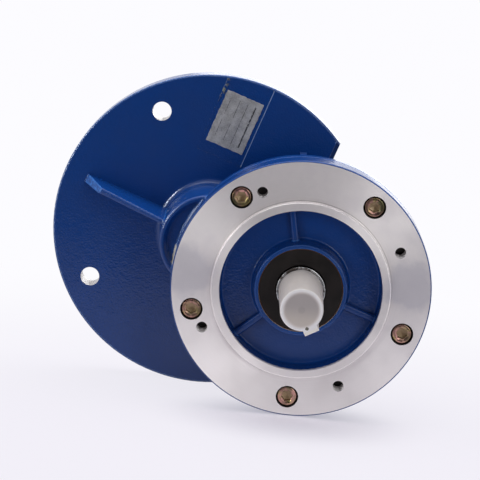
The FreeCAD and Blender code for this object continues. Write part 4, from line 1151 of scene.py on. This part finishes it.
class REDUCER_OT_stage(ReducerOperator, bpy.types.Operator):
    """Set the camera, the lamps, the floor and the surround"""

    bl_idname = "reducer.stage"
    bl_label = "Stage"

    def execute(self, context):
        stage = context.scene.reducer_stage
        self.camera(context, stage)
        self.surround(context, stage)
        self.floor(stage)
        middle = (-0.02, 0.0, 0.0)
        self.lamp("top_lamp", (-0.08, 0.20, 1.10), (-0.03, 0.05, 0.0), (1.5, 0.8), stage.top_power)
        self.lamp("left_lamp", (-1.00, -0.78, 0.32), middle, (0.35, 0.6), stage.left_power)
        self.lamp("right_lamp", (0.63, -1.07, 0.39), middle, (0.45, 0.6), stage.right_power)
        crown = self.lamp("crown_lamp", (-0.05, 0.13, 1.10), (-0.05, 0.06, 0.0), (1.0, 0.25),
                          stage.crown_power)
        crown.visible_glossy = False
        self.lights_only(crown, "gear_case", "output_flange")
        spark = self.lamp("bright_lamp", (-1.10, -0.66, 0.41), (-0.06, 0.02, 0.02), (0.15, 0.70),
                          stage.spark_power, roll=-31.0)
        spark.visible_diffuse = False
        spark.data.color = COOL_WHITE
        self.lights_only(spark, "gear_case")
        back = self.lamp("back_lamp", (0.36, 1.60, 0.14), (0.05, 0.0, 0.06), (1.1, 0.5), stage.back_power)
        back.visible_diffuse = False
        back.visible_camera = False
        self.card()
        context.scene.view_settings.view_transform = "Standard"
        return {"FINISHED"}

    def camera(self, context, stage):
        """Camera where the picture was taken from."""
        data = bpy.data.cameras.new("camera")
        data.lens = stage.lens
        data.sensor_width = 36.0
        data.clip_end = 20.0
        camera = placed("camera", data)
        pitch, yaw = stage.camera_pitch, stage.camera_yaw
        level = math.cos(pitch)
        forward = Vector((math.sin(yaw) * level, math.cos(yaw) * level, -math.sin(pitch)))
        right = Vector((math.cos(yaw), -math.sin(yaw), 0.0))
        rolled = Matrix.Rotation(-stage.camera_roll, 3, "Y")
        axes = [rolled @ axis for axis in (right, right.cross(forward), -forward)]
        turn = Matrix(axes).transposed().to_4x4()
        camera.matrix_world = Matrix.Translation(Vector(stage.camera_place)) @ turn
        context.scene.camera = camera

    def surround(self, context, stage):
        """Pale surround that is seen at full strength and lights softly."""
        world = bpy.data.worlds.new("surround")
        context.scene.world = world
        world.use_nodes = True
        world.node_tree.nodes.clear()
        graph = Graph(world.node_tree)
        _, seen = graph.seen()
        inputs = {"Color": rgba(stage.surround), "Strength": graph.blend(seen, stage.fill, 1.0)}
        light = graph.add("ShaderNodeBackground", inputs)
        graph.feed(graph.add("ShaderNodeOutputWorld").inputs["Surface"], light.outputs[0])

    def sheet(self, name, corners, material):
        """Flat four-cornered thing of the stage."""
        mesh = bpy.data.meshes.new(name)
        mesh.from_pydata(corners, [], [(0, 1, 2, 3)])
        mesh.materials.append(material)
        return placed(name, mesh)

    def floor(self, stage):
        """Pale floor that keeps the shadow, melts into the surround and is dim to gloss in front."""
        graph = MaterialGraph("pale_floor")
        material = graph.finish({"Base Color": rgba(stage.floor), "Roughness": 0.9,
                                 "Specular IOR Level": 0.1})
        place = graph.place()
        parts = graph.parts(place)
        path, seen = graph.seen()
        far = graph.measure("DISTANCE", place, (0.0, -0.22, FLOOR_LEVEL))
        inputs = {0: place, 1: (0.6, 1.0, 1.0)}
        squeezed = graph.add("ShaderNodeVectorMath", inputs, operation="MULTIPLY").outputs[0]
        foot = graph.measure("DISTANCE", squeezed, (0.0, -0.012, FLOOR_LEVEL))
        # Close to the foot the camera sees less of the surround's white, so the floor reads darker there: a
        # painted contact shadow over the real one.
        near = graph.blend(path["Is Camera Ray"], 1.0, graph.step(foot, 0.0, 0.055, 0.38, 1.0))
        melt = graph.every(seen, graph.step(far, 0.20, 0.60, stage.floor_glow, 1.0), near)
        white = graph.layers(stage.floor_tint, (stage.surround, graph.step(far, 0.20, 0.60)))
        aside = graph.math("ABSOLUTE", parts["X"])
        dim = graph.every(path["Is Glossy Ray"], graph.step(parts["Y"], -0.15, -0.38),
                          graph.step(aside, 0.6, 0.35))
        surface = graph.shader.outputs[0]
        for mask, tint, strength in ((melt, white, 1.0), (dim, rgba(COOL_WHITE), 0.10)):
            glow = graph.add("ShaderNodeEmission", {"Color": tint, "Strength": strength}).outputs[0]
            surface = graph.add("ShaderNodeMixShader", {0: mask, 1: surface, 2: glow}).outputs[0]
        graph.feed(graph.tree.nodes["Material Output"].inputs["Surface"], surface)
        reach = 4.0
        corners = [(-reach, -reach), (reach, -reach), (reach, reach), (-reach, reach)]
        floor = self.sheet("floor", [(x, y, FLOOR_LEVEL) for x, y in corners], material)

    def lamp(self, name, place, target, size, power, roll=0.0):
        """Soft rectangular lamp, turned about its own beam by roll degrees."""
        data = bpy.data.lights.new(name, "AREA")
        data.shape = "RECTANGLE"
        data.size, data.size_y = size
        data.energy = power
        lamp = placed(name, data)
        lamp.location = place
        turn = (Vector(target) - Vector(place)).to_track_quat("-Z", "Y")
        lamp.rotation_euler = (turn @ Quaternion((0.0, 0.0, 1.0), math.radians(roll))).to_euler()
        return lamp

    def lights_only(self, lamp, *nodes):
        """Keeps a lamp to the nodes named."""
        lit = bpy.data.collections.new("lit_by_" + lamp.name)
        for node in nodes:
            lit.objects.link(NODES[node])
        lamp.light_linking.receiver_collection = lit

    def card(self):
        """Dark card in front, which only gloss sees."""
        material = MaterialGraph("dark_card").finish({"Base Color": rgba(CARD_GREY)})
        side, front, top = 1.6, -1.7, 1.2
        corners = [(-side, FLOOR_LEVEL), (side, FLOOR_LEVEL), (side, top), (-side, top)]
        card = self.sheet("front_card", [(x, front, z) for x, z in corners], material)
        card.visible_camera = False
        card.visible_diffuse = False
        card.visible_transmission = False
        card.visible_shadow = False


OPERATORS = (REDUCER_OT_castings, REDUCER_OT_screws, REDUCER_OT_threads, REDUCER_OT_plate, REDUCER_OT_seals,
             REDUCER_OT_shaft, REDUCER_OT_gears, REDUCER_OT_bearings, REDUCER_OT_cap, REDUCER_OT_stage)
SETTINGS = {"reducer_finishes": ReducerFinishes, "reducer_screws": ReducerScrews,
            "reducer_threads": ReducerThreads, "reducer_plate": ReducerPlate, "reducer_stage": ReducerStage}


class REDUCER_PT_panel(bpy.types.Panel):
    """Pieces of the reducer and their settings"""

    bl_idname = "REDUCER_PT_panel"
    bl_label = "Gear reducer"
    bl_space_type = "VIEW_3D"
    bl_region_type = "UI"
    bl_category = "Reducer"

    def draw(self, context):
        layout = self.layout
        for operator in OPERATORS:
            layout.operator(operator.bl_idname)
        for name, group in SETTINGS.items():
            box = layout.box()
            for label in group.__annotations__:
                box.prop(getattr(context.scene, name), label)


CLASSES = (*SETTINGS.values(), *OPERATORS, REDUCER_PT_panel)


def register():
    for kind in CLASSES:
        bpy.utils.register_class(kind)
    for name, group in SETTINGS.items():
        setattr(bpy.types.Scene, name, PointerProperty(type=group))


def unregister():
    for name in SETTINGS:
        delattr(bpy.types.Scene, name)
    for kind in reversed(CLASSES):
        bpy.utils.unregister_class(kind)


def main():
    register()
    bpy.ops.reducer.castings()
    bpy.ops.reducer.screws()
    bpy.ops.reducer.threads()
    bpy.ops.reducer.plate()
    bpy.ops.reducer.seals()
    bpy.ops.reducer.shaft()
    bpy.ops.reducer.gears()
    bpy.ops.reducer.bearings()
    bpy.ops.reducer.cap()
    bpy.ops.reducer.stage()
    bpy.context.view_layer.update()


if __name__ == "__main__":
    main()
